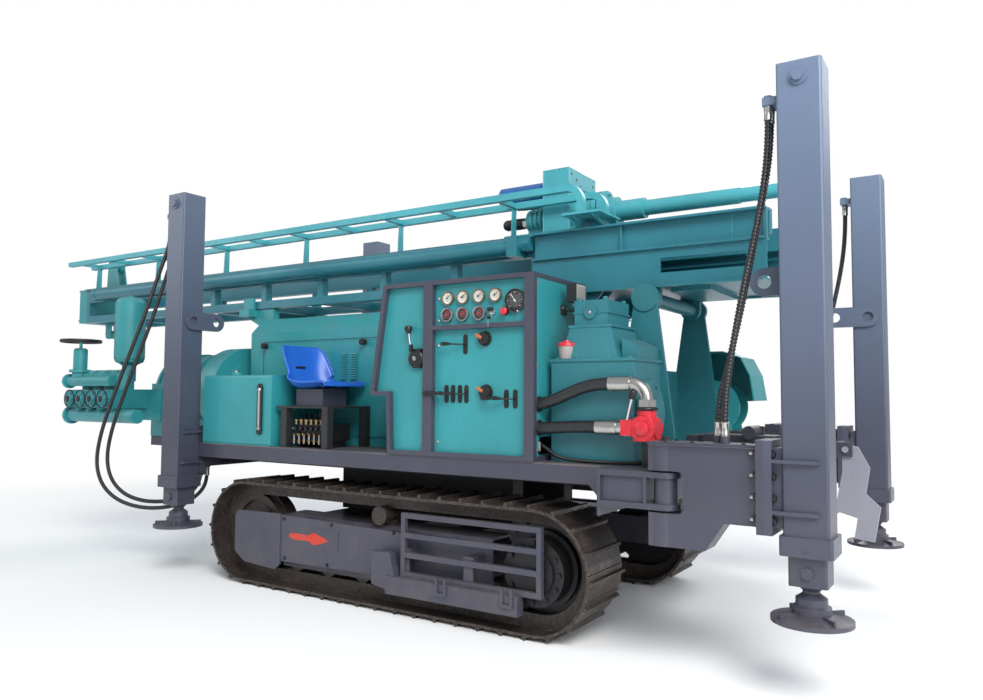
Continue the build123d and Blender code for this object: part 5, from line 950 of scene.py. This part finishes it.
def lamp():
    low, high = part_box("work_lamp")
    near, far, floor, top, right = low.y, high.y, high.z - LAMP_HEIGHT, high.z, high.x
    pitch = (far - near - 0.016) / LAMP_GRID
    rise = (top - floor - 0.024) / LAMP_GRID
    plate = ((right - 0.003, near + 0.006, floor + 0.006), (right + 0.0005, far - 0.006, top - 0.006))
    single("lamp_reflector", LAMP_SILVER, add_box, *plate, bevel=0.0015)
    cups, glow = drafts(2)
    cup = ((0.0055, 0), (0.0105, 0), (0.0115, 0.0012), (0.0105, 0.0018), (0.0055, 0.0008), (0.0055, 0))
    for i in range(LAMP_GRID):
        for k in range(LAMP_GRID):
            place = (right, near + 0.008 + pitch * (i + 0.5), floor + 0.012 + rise * (k + 0.5))
            add_turned(cups, cup, place, RIGHT, 20, hollow=True)
            add_turned(glow, ((0.0055, 0), (0.004, 0.0011), (0, 0.0014)), place, RIGHT, 16)
    piece("lamp_cups", cups, DARK_STEEL)
    piece("lamp_lenses", glow, WHITE)
    knuckle = bmesh.new()
    middle = (near + far) / 2
    add_bolt(knuckle, (right - LAMP_WIDTH + 0.028, middle - 0.018, floor - 0.014), NEAR, 0.010)
    for dy in (-0.02, 0.02):
        add_bolt(knuckle, (low.x + 0.011, middle + dy, 1.726), RIGHT, 0.008)
    piece("lamp_bolts", knuckle, ZINC)


# Hood: louvers with painted shade under their lips, door latches and the seam of its door

LOUVER_COLUMNS = ((0.190, 0.235), (0.275, 0.330))
LOUVER_ROWS = [1.350 + k * 0.0165 for k in range(11)]
LOUVERS = [(left, right, z) for left, right in LOUVER_COLUMNS for z in LOUVER_ROWS]
# Left, right, bottom and top
DOOR = (-0.583, 0.762, 0.965, 1.623)
SEAM = 0.003


def hood_details():
    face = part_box("engine_hood")[0].y
    lips = bmesh.new()
    for left, right, z in LOUVERS:
        verts = [lips.verts.new((x, face + y, at)) for x, y, at in (
            (left, 0, z), (left + 0.003, -0.008, z - 0.002), (right - 0.003, -0.008, z - 0.002),
            (right, 0, z), (right - 0.002, 0, z + 0.009), (left + 0.002, 0, z + 0.009),
        )]
        for corners in ((0, 1, 2, 3), (1, 5, 4, 2), (0, 5, 1), (3, 2, 4)):
            lips.faces.new([verts[i] for i in corners])
    piece("hood_louvers", lips, TEAL, sharp=50)
    dark = bmesh.new()
    left, right, bottom, top = DOOR
    for x1, z1, x2, z2 in (
        (left, bottom, right, bottom + SEAM), (left, top - SEAM, right, top),
        (left, bottom, left + SEAM, top), (right - SEAM, bottom, right, top),
    ):
        add_box(dark, (x1, face - 0.0006, z1), (x2, face + 0.001, z2))
    # Black strips under each louver lip: painted shade of the louver openings
    for left, right, z in LOUVERS:
        add_box(dark, (left + 0.003, face - 0.0035, z - 0.004), (right - 0.003, face - 0.0015, z - 0.0005))
    knob = (
        (0.020, 0), (0.020, 0.006), (0.013, 0.010), (0.013, 0.018), (0.023, 0.026), (0.022, 0.036),
        (0, 0.038),
    )
    for x in (-0.551, 0.400):
        add_turned(dark, knob, (x, face - 0.002, 1.593), NEAR, 28)
    piece("hood_latches_seams_and_louver_shade", dark, BLACK, sharp=40)


# Tank: sight gauge, plugs and weld seams

TANK_FACE = -0.920
GAUGE_X = -0.132


def tank_details():
    low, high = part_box("tank")
    case = pill(GAUGE_X, TANK_FACE, 1.000, 1.290, 0.022)
    single("tank_gauge_case", BLACK, add_prism, case, (0, -0.0148, 0), bevel=0.003)
    glass_y = TANK_FACE - 0.0150
    tube = ((GAUGE_X, glass_y, 1.03), (GAUGE_X, glass_y, 1.262))
    single("tank_gauge_tube", CUP_GREY, add_rod, *tube, 0.0085, 20)
    places = [(GAUGE_X, TANK_FACE - 0.0140, z) for z in (1.020, 1.272)]
    bolts("tank_gauge_screws", CHROME, places, NEAR, 0.011)
    plugs = bmesh.new()
    add_bolt(plugs, (-0.561, -0.770, high.z - 0.002), UP, 0.018)
    add_bolt(plugs, (-0.19, -0.560, high.z - 0.045), UP, 0.012)
    piece("tank_plugs", plugs, ZINC)
    welds(
        "tank_seams", TEAL, BODY,
        ((low.x + 0.004, TANK_FACE, 0.908), (-0.034, TANK_FACE, 0.908), 0.0035),
        ((-0.034, TANK_FACE - 0.001, 0.91), (-0.034, TANK_FACE - 0.001, 1.36), 0.0035),
    )


# Legs: flange bolts, pins, weld beads and hose unions

LEG_HALF = 0.090
LEG_Y = 1.005
RIGHT_LEG_X = 3.265
LEFT_LEG_X = -0.838
COLLAR_Z = 0.684
UNION_Z = 2.480


def flange_bolts(side, s):
    """Studs through the flange between right leg and arm, and the nuts of the left leg's flange."""
    nuts, tips = drafts(2)
    for z in (0.74, 0.83, 0.92, 1.01):
        for y in (s * LEG_Y - 0.088, s * LEG_Y + 0.088):
            add_bolt(nuts, (3.075, y, z), LEFT, 0.015)
            add_bolt(nuts, (3.139, y, z), RIGHT, 0.015)
            add_rod(tips, (3.062, y, z), (3.048, y, z), 0.008)
    piece(f"flange_nuts_{side}", nuts, DARK_STEEL, f"arm_{side}")
    piece(f"flange_studs_{side}", tips, ZINC, f"arm_{side}")
    places = [(x, s * 0.883, z) for z in (0.75, 0.85, 0.95) for x in (-0.80, -0.88)]
    bolts(f"left_flange_nuts_{side}", DARK_STEEL, places, (0, -s, 0), 0.014)


def leg_fittings(place, side, s, x, body):
    y = s * LEG_Y
    pins = bmesh.new()
    for z, size in ((2.562, 0.016), (0.640, 0.017)):
        add_bolt(pins, (x, s * (LEG_Y + LEG_HALF), z), (0, s, 0), size)
    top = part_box(f"leg_tube_{place}_{side}")[1].z
    plug = ((0.010, 0), (0.010, 0.004), (0, 0.005))
    add_turned(pins, plug, (x + 0.03, y, top - 0.012), UP, 14)
    piece(f"leg_pins_{place}_{side}", pins, LEG_GREY, body)
    beads = []
    for dx in (LEG_HALF, -LEG_HALF):
        beads.append(((x + dx, y - 0.085, COLLAR_Z), (x + dx, y + 0.085, COLLAR_Z), 0.004))
    for dy in (LEG_HALF, -LEG_HALF):
        beads.append(((x - 0.085, y + dy, COLLAR_Z), (x + 0.085, y + dy, COLLAR_Z), 0.004))
    welds(f"leg_collar_welds_{place}_{side}", GREY, body, *beads)
    # The left far leg has no hoses
    if (place, side) != ("left", "far"):
        unions = bmesh.new()
        union = ((0.017, 0), (0.017, 0.016), (0.012, 0.019))
        for dy in (0.025, -0.025) if side == "near" else (0.025,):
            add_turned(unions, union, (x - LEG_HALF - 0.045, s * (LEG_Y + dy), UNION_Z), DOWN, 6)
        piece(f"leg_unions_{place}_{side}", unions, ZINC, body)


def leg_details():
    for side, s in SIDES:
        flange_bolts(side, s)
        leg_fittings("right", side, s, RIGHT_LEG_X, f"arm_{side}")
        leg_fittings("left", side, s, LEFT_LEG_X, BODY)


# Swing arms: lid screws and weld beads

def arm_details():
    for side, s in SIDES:
        body = f"arm_{side}"
        bm = bmesh.new()
        for x in (2.68, 2.80, 3.02):
            for dy in (-0.07, 0.07):
                add_bolt(bm, (x, s * LEG_Y + dy, 1.042), UP, 0.008)
        add_bolt(bm, (2.655, s * LEG_Y, 1.046), UP, 0.020)
        piece(f"arm_lid_screws_{side}", bm, DARK_STEEL, body)
        y = s * (LEG_Y + LEG_HALF)
        welds(
            f"arm_welds_{side}", GREY, body,
            ((3.074, y, 0.70), (3.074, y, 1.03), 0.004), ((2.61, y, 1.029), (3.07, y, 1.029), 0.003),
        )


# Deck: welds at the joints of its channels

def deck_details():
    for side, s in SIDES:
        welds(
            f"deck_welds_{side}", GREY, BODY,
            ((2.344, s * 0.920, 0.745), (2.344, s * 0.920, 0.897), 0.0045),
            ((2.345, s * 0.925, 0.905), (2.345, s * 1.06, 0.905), 0.004),
        )


# Track frames: arrow, bolts and seam of the covers

COVER_Y = 0.900
ARROW_TAIL = 0.145
ARROW_TIP = 0.480
ARROW_Z = 0.352
HATCH_LEFT = 0.360
HATCH_RISE = 0.003
PAINT_FILM = 0.0008
# X, and the distance above the arrow's middle line
ARROW_UPPER = (
    (ARROW_TAIL + 0.04, 0.020), (ARROW_TIP - 0.16, 0.018), (ARROW_TIP - 0.145, 0.035),
    (ARROW_TIP - 0.115, 0.037), (ARROW_TIP - 0.04, 0.016),
)
ARROW_LOWER = tuple((x, -up) for x, up in reversed(ARROW_UPPER))
ARROW_END = ((ARROW_TAIL, -0.010), (ARROW_TAIL - 0.008, 0), (ARROW_TAIL, 0.013))
ARROW_OUTLINE = (*ARROW_END, *ARROW_UPPER, (ARROW_TIP, 0), *ARROW_LOWER)
# The head runs on over the raised hatch
HATCH_OUTLINE = (
    (HATCH_LEFT, -0.037), (ARROW_TIP - 0.04, -0.016), (ARROW_TIP, 0), (ARROW_TIP - 0.04, 0.016),
    (HATCH_LEFT, 0.037),
)


def track_cover_details():
    for side, s in SIDES:
        face = s * COVER_Y
        arrow = bmesh.new()
        for outline, y in ((ARROW_OUTLINE, face), (HATCH_OUTLINE, face + s * HATCH_RISE)):
            add_prism(arrow, [(x, y, ARROW_Z + up) for x, up in outline], (0, s * PAINT_FILM, 0))
        piece(f"track_arrow_{side}", arrow, ARROW)
        upper = [(x, face, 0.452) for x in (0.09, 0.50, 0.99)]
        lower = [(x, face, 0.208) for x in (0.10, 0.47, 0.99)]
        bolts(f"track_cover_bolts_{side}", DARK_STEEL, upper + lower, (0, s, 0), 0.009)
        welds(f"track_cover_seam_{side}", GREY, BODY, ((0.058, face, 0.19), (0.058, face, 0.47), 0.003))


# Rotary head: welded corners, holes on its right face drawn as black discs of painted shade, and the stubs of
# its hoses

HEAD_HOLES = (
    (-0.150, 2.615), (-0.085, 2.590), (-0.030, 2.560), (0.040, 2.540), (0.150, 2.600),
    (-0.150, 2.300), (0.150, 2.300),
)
FEED_Z = 2.379
DRAIN_Y = -0.125
DRAIN_Z = 2.452


def head_details():
    # Welds in the lighter teal copy, painted light
    welds(
        "head_welds", TEAL_LIT, "head",
        ((1.571, -0.189, 2.26), (1.571, -0.189, 2.645), 0.004),
        ((1.749, -0.189, 2.26), (1.749, -0.189, 2.645), 0.004),
        ((1.572, -0.189, 2.646), (1.748, -0.189, 2.646), 0.0035),
        ((1.749, -0.188, 2.646), (1.749, 0.188, 2.646), 0.0035),
    )
    # Black discs as painted shade where the holes are
    holes = bmesh.new()
    for y, z in HEAD_HOLES:
        add_disc(holes, (1.7495, y, z), RIGHT, 0.010, 0.0015, 18, 0.008)
    piece("head_hole_shade", holes, BLACK, "head")
    bright, dark = drafts(2)
    union = ((0.045, 0), (0.045, 0.030), (0.036, 0.034), (0.036, 0.085))
    add_turned(bright, union, (1.408, 0, FEED_Z), LEFT, 6)
    stub = ((0.036, 0), (0.038, 0.05), (0.034, 0.09), (0.037, 0.13), (0.026, 0.15))
    add_turned(dark, stub, (1.326, 0, FEED_Z), LEFT, 24)
    union = ((0.022, 0), (0.022, 0.035), (0.017, 0.038), (0.017, 0.075))
    add_turned(bright, union, (1.570, DRAIN_Y, DRAIN_Z), LEFT, 6)
    stub = ((0.020, 0), (0.021, 0.09), (0.016, 0.15))
    add_turned(dark, stub, (1.497, DRAIN_Y, DRAIN_Z), LEFT, 20)
    piece("head_unions", bright, ZINC, "head")
    piece("head_hose_stubs", dark, RUBBER, "head", sharp=50)


# Transfer gearbox: joint bolts, bearing cap, side cover bolts and the grease cup with its red lid

CUP_PLACE = (2.035, -0.770, 1.434)


def gearbox_details():
    teal = bmesh.new()
    for x in (1.99, 2.10, 2.28, 2.39):
        add_bolt(teal, (x, -0.788, 1.434), UP, 0.011)
    for dy, dz in around(8, 0.150, 0.5):
        add_bolt(teal, (2.442, -0.614 + dy, 1.155 + dz), RIGHT, 0.011)
    add_ring(teal, (2.163, -0.7645, 1.675), FAR, 0.028, 0.0035, 36, 8)
    # Bolts in the darker cast teal, painted shade
    piece("gearbox_bolts", teal, TEAL_CAST_SHADED)
    bolts("gearbox_cap_screw", CHROME, [(2.163, -0.764, 1.675)], NEAR, 0.008)
    cup = ((0.036, 0), (0.040, 0.004), (0.045, 0.062), (0.045, 0.068))
    single("grease_cup", CUP_GREY, add_turned, cup, CUP_PLACE, UP, 36, sharp=50)
    lid = ((0.049, 0.068), (0.049, 0.082), (0.042, 0.088), (0.020, 0.090), (0.018, 0.098), (0, 0.099))
    single("grease_cup_lid", RED, add_turned, lid, CUP_PLACE, UP, 36, sharp=50)


# Red valve: lever with its knob, flange with its nuts, and the union ring

VALVE_X = 2.508
VALVE_Z = 1.090
VALVE_FACE = -0.922


def valve_details():
    single("valve_lever", CHROME, add_rod, (2.430, -0.915, 1.125), (2.462, -0.930, 1.235), 0.008)
    black = bmesh.new()
    knob = ((0.013, 0), (0.017, 0.010), (0.017, 0.038), (0.010, 0.046), (0, 0.047))
    add_turned(black, knob, (2.462, -0.930, 1.230), (0.25, -0.13, 0.95), 20)
    add_ring(black, (VALVE_X, -0.860, 1.183), UP, 0.047, 0.009, 40, 10)
    piece("valve_lever_knob", black, BLACK, sharp=50)
    red = bmesh.new()
    add_box(red, (2.400, -0.926, 1.055), (2.455, -0.905, 1.130))
    for dx, dz in around(6, 0.048):
        add_bolt(red, (VALVE_X + dx, VALVE_FACE, VALVE_Z + dz), NEAR, 0.006, washer=False)
    hub = ((0.034, 0), (0.034, 0.010), (0.020, 0.016))
    add_turned(red, hub, (VALVE_X, VALVE_FACE, VALVE_Z), NEAR, 30)
    piece("valve_flange", red, RED, bevel=0.003)


VALVE_HOSE_RADIUS = 0.031
VALVE_HOSES = {
    "upper": (
        (2.322, -0.860, 1.304), (2.270, -0.860, 1.303), (2.190, -0.862, 1.292), (2.090, -0.866, 1.255),
        (2.000, -0.868, 1.215), (1.926, -0.868, 1.200),
    ),
    "lower": (
        (2.252, -0.860, 1.090), (2.200, -0.861, 1.090), (2.110, -0.866, 1.088), (2.010, -0.870, 1.080),
        (1.926, -0.872, 1.078),
    ),
}
CABLE = (
    (1.905, -0.800, 0.985), (1.950, -0.815, 0.962), (2.020, -0.835, 0.925), (2.150, -0.850, 0.917),
    (2.300, -0.852, 0.917), (2.380, -0.846, 0.917), (2.440, -0.800, 0.917), (2.470, -0.700, 0.917),
)
CABLE_RADIUS = 0.009
CABLE_RIPPLE = 1050


def valve_hoses():
    """The two short hoses that run from the red valve's couplings into the cabinet's side."""
    rubber = bmesh.new()
    for name, route in VALVE_HOSES.items():
        path = evenly(smooth_line(f"valve_hose_line_{name}", route), 0.004)
        add_tube(rubber, path, lambda d: VALVE_HOSE_RADIUS + 0.0012 * math.sin(d * RIPPLE), 20)
    piece("valve_hoses", rubber, RUBBER, sharp=70)
    collars = bmesh.new()
    for z in (1.200, 1.078):
        add_ring(collars, (1.9265, -0.868, z), RIGHT, 0.036, 0.006, 36, 10)
    piece("valve_hose_grommets", collars, BLACK)


def hatch_cable():
    """The thin ribbed cable beside the gearbox, its connector in the hatch and the valve's dark foot."""
    cable = bmesh.new()
    path = evenly(smooth_line("hatch_cable_line", CABLE), 0.0015)
    add_tube(cable, path, lambda d: CABLE_RADIUS + 0.0014 * math.sin(d * CABLE_RIPPLE), 10)
    add_box(cable, (2.490, -0.878, 0.9055), (2.526, -0.842, 1.027))
    piece("hatch_cable", cable, BLACK, sharp=70)
    connector = ((1.880, -0.858, 0.955), (1.918, -0.838, 1.005))
    single("hatch_connector", CUP_GREY, add_box, *connector, bevel=0.002)


# Valve bank under the seat: ports, short pipes with their nuts, and a beaded pipe

BANK_FACE = -0.845
BANK_PORTS = 6
BANK_PITCH = 0.044
BEADS = 9
BEAD_PITCH = 0.0165


def valve_bank_details():
    bright, brass = drafts(2)
    front = BANK_FACE - 0.036
    port = ((0.013, 0), (0.013, 0.014), (0.009, 0.018), (0.009, 0.040), (0.006, 0.042))
    cap = ((0.009, 0), (0.009, 0.020), (0.012, 0.021), (0.012, 0.032))
    for k in range(BANK_PORTS):
        x = 0.145 + k * BANK_PITCH
        add_turned(brass, port, (x, BANK_FACE, 0.985), NEAR, 6)
        add_turned(brass, cap, (x, BANK_FACE - 0.020, 1.052), UP, 6)
        add_rod(bright, (x, front, 0.988), (x, front, 0.930), 0.006)
        add_disc(brass, (x, front, 0.955), DOWN, 0.010, 0.014, 6)
    piece("bank_unions", bright, STEEL)
    piece("bank_ports", brass, DULL_BRASS)
    chain = bmesh.new()
    bead = ((0.008, 0), (0.0095, 0.004), (0.008, 0.010))
    for k in range(BEADS):
        add_turned(chain, bead, (0.002 + k * BEAD_PITCH, -0.80, 1.022), RIGHT, 8)
    add_rod(chain, (-0.002, -0.80, 1.022), (0.150, -0.80, 1.022), 0.005)
    piece("bank_pipe", chain, ZINC)


# Drill table: short angled fitting and clamp bolts

def table_details():
    foot = Vector((2.735, -0.250, 1.002))
    top = Vector((2.690, -0.262, 1.130))
    fitting = (
        (0.020, 0), (0.020, 0.028), (0.015, 0.032), (0.015, 0.072), (0.019, 0.074), (0.019, 0.094),
        (0.012, 0.098), (0.012, 0.134),
    )
    single("table_fitting", BRASS, add_turned, fitting, foot, top - foot, 20, sharp=40)
    places = [(x, y, 1.000) for x in (2.54, 3.16) for y in (-0.31, -0.1, 0.1, 0.31)]
    bolts("table_bolts", DARK_STEEL, places, UP, 0.013)


# Pump: cover nuts, port rings and discs of painted shade, pipe ends, dark handwheel and the copper coloured
# stub

PUMP_COLUMNS = (-2.215, -2.065, -1.915, -1.765)
PORT_Y = -1.030
PORT_Z = 1.200
WHEEL = (-2.304, -0.900, 1.649)
SPOKE = 0.14
STUB_WAVES = 3


def pump_details():
    nuts, rings = drafts(2)
    for x in PUMP_COLUMNS:
        for (dx, dy), (port_dx, port_dz) in zip(around(6, 0.055), around(6, 0.050)):
            add_bolt(nuts, (x + dx, -0.850 + dy, 1.400), UP, 0.008)
            add_bolt(nuts, (x + port_dx, PORT_Y, PORT_Z + port_dz), NEAR, 0.008)
        # Dark ring and disc at each port: painted shade of the recess round its cover
        add_ring(rings, (x, PORT_Y - 0.0005, PORT_Z), FAR, 0.066, 0.005, 40, 8)
        add_disc(rings, (x, PORT_Y - 0.0135, PORT_Z), NEAR, 0.030, 0.002, 24, 0.027)
    # Nuts in the darker cast teal, painted shade
    piece("pump_nuts", nuts, TEAL_CAST_SHADED)
    for left, z, radius in ((-2.359, 1.070, 0.062), (-2.409, 1.340, 0.048)):
        add_disc(rings, (left, -0.930, z), LEFT, radius, 0.003, 32)
    wheel = (
        (0.131, 0), (0.150, 0), (0.156, 0.012), (0.150, 0.026), (0.131, 0.026), (0.125, 0.012), (0.131, 0),
    )
    add_turned(rings, wheel, WHEEL, UP, 48, hollow=True)
    x, y, z = WHEEL
    for dx, dy in ((SPOKE, 0.010), (0.010, SPOKE)):
        add_box(rings, (x - dx, y - dy, z + 0.005), (x + dx, y + dy, z + 0.022))
    add_bolt(rings, (x, y, z + 0.022), UP, 0.014)
    piece("pump_dark_parts_and_port_shade", rings, DARK_STEEL, sharp=45)
    stub = []
    for k in range(STUB_WAVES):
        stub += [(0.030, k * 0.012), (0.027, k * 0.012 + 0.006)]
    stub += [(0.030, 0.036), (0.024, 0.060)]
    single("pump_stub", COPPER, add_turned, stub, (-2.413, -0.930, 1.340), LEFT, 24, sharp=45)


# Mast: weld dots at the cradle and the edges of its flanges

def mast_details():
    beads = bmesh.new()
    dot = ((0.0045, 0), (0.003, 0.0018), (0, 0.0024))
    for s in (-1, 1):
        for x in (2.05, 2.17):
            add_weld(beads, (x, s * 0.3702, 2.055), (x, s * 0.3702, 2.045), 0.002)
        for k in range(9):
            add_turned(beads, dot, (2.780, s * 0.344, 2.075 + k * 0.0145), (0, s, 0), 10)
    piece("mast_weld_dots", beads, TEAL, "mast")
    edges = bmesh.new()
    for near, far in ((-0.391, -0.370), (0.370, 0.391)):
        for z in (2.046, 2.200):
            add_box(edges, (1.600, near, z), (2.955, far, z + 0.014))
    # Flange edges in the mast's darker teal copy, painted shade
    piece("mast_flange_edges", edges, TEAL_SHADED, "mast", bevel=0.0015)


for details in (
    seat, dials, cabinet_levers, cabinet_knobs, cabinet_switches, throttle, cabinet_screws, lamp,
    hood_details, tank_details, leg_details, arm_details, deck_details, track_cover_details,
    head_details, gearbox_details, valve_details, valve_hoses, hatch_cable, valve_bank_details,
    table_details, pump_details, mast_details,
):
    details()


# Floor and lights

# Between these distances the floor turns into the background's white
WHITE_FROM = 3.6
WHITE_AT = 7.5
FLOOR_HALF = 70
WORLD_STRENGTH = 0.52
AIM = Vector((0, 0, 1))
# Name, place, size, power and colour, all aimed at one point
LAMPS = (
    ("key", (8, -8, 9), 6, 1290, (1.0, 0.99, 0.97)),
    ("right", (10, -5, 5), 6, 430, (0.96, 0.98, 1.0)),
    ("fill", (-9, -7, 6), 7, 230, (0.95, 0.98, 1.0)),
    ("back", (2, 10, 8), 7, 560, (1, 1, 1)),
)


def blend(tree, output, factor, first, second):
    """Send a blend of two shaders to the output."""
    mixer = add_node(tree, "MixShader", Fac=factor)
    feed(tree, mixer.inputs[1], first)
    feed(tree, mixer.inputs[2], second)
    feed(tree, output.inputs["Surface"], mixer.outputs[0])


def floor():
    """A plain pale floor that goes on past the view; far out the camera sees it as the plain white behind."""
    n = Nodes("floor_pale")
    tone = n.ramp(n.noise(0.5, 3), (0.3, (0.93, 0.935, 0.94)), (0.7, (0.95, 0.955, 0.96)))
    n.set(Base_Color=tone, Roughness=0.95, Specular_IOR_Level=0.1)
    away = combine(n.tree, "VectorMath", "LENGTH", n.place).outputs["Value"]
    seen = n.add("LightPath").outputs["Is Camera Ray"]
    white = n.add("Emission", Strength=1.0)
    factor = n.product(n.mask(away, WHITE_FROM, WHITE_AT), seen)
    blend(n.tree, n.output, factor, n.shader.outputs[0], white.outputs[0])
    bm = bmesh.new()
    bmesh.ops.create_grid(bm, x_segments=8, y_segments=8, size=FLOOR_HALF)
    mesh = bpy.data.meshes.new("floor")
    bm.to_mesh(mesh)
    bm.free()
    mesh.materials.append(n.material)
    made = bpy.data.objects.new("floor", mesh)
    bpy.context.scene.collection.objects.link(made)


def area_lamp(name, place, size, power, colour):
    data = bpy.data.lights.new(name, "AREA")
    data.shape = "DISK"
    data.size = size
    data.energy = power
    data.color = colour
    made = bpy.data.objects.new(name, data)
    made.location = place
    made.rotation_euler = (AIM - Vector(place)).to_track_quat("-Z", "Y").to_euler()
    bpy.context.scene.collection.objects.link(made)


def world_light():
    """Even pale light; the camera, and what is seen through glass, gets plain white."""
    world = bpy.data.worlds.new("pale_surround")
    bpy.context.scene.world = world
    world.use_nodes = True
    tree = world.node_tree
    tree.nodes.clear()
    light = add_node(tree, "Background", Color=(0.90, 0.94, 1.0, 1), Strength=WORLD_STRENGTH)
    white = add_node(tree, "Background", Color=(1, 1, 1, 1), Strength=1.0)
    path = add_node(tree, "LightPath").outputs
    seen = combine(tree, "Math", "MAXIMUM", path["Is Camera Ray"], path["Is Transmission Ray"])
    blend(tree, add_node(tree, "OutputWorld"), seen.outputs[0], light.outputs[0], white.outputs[0])


floor()
for lamp_row in LAMPS:
    area_lamp(*lamp_row)
world_light()
bpy.context.scene.view_settings.view_transform = "Standard"
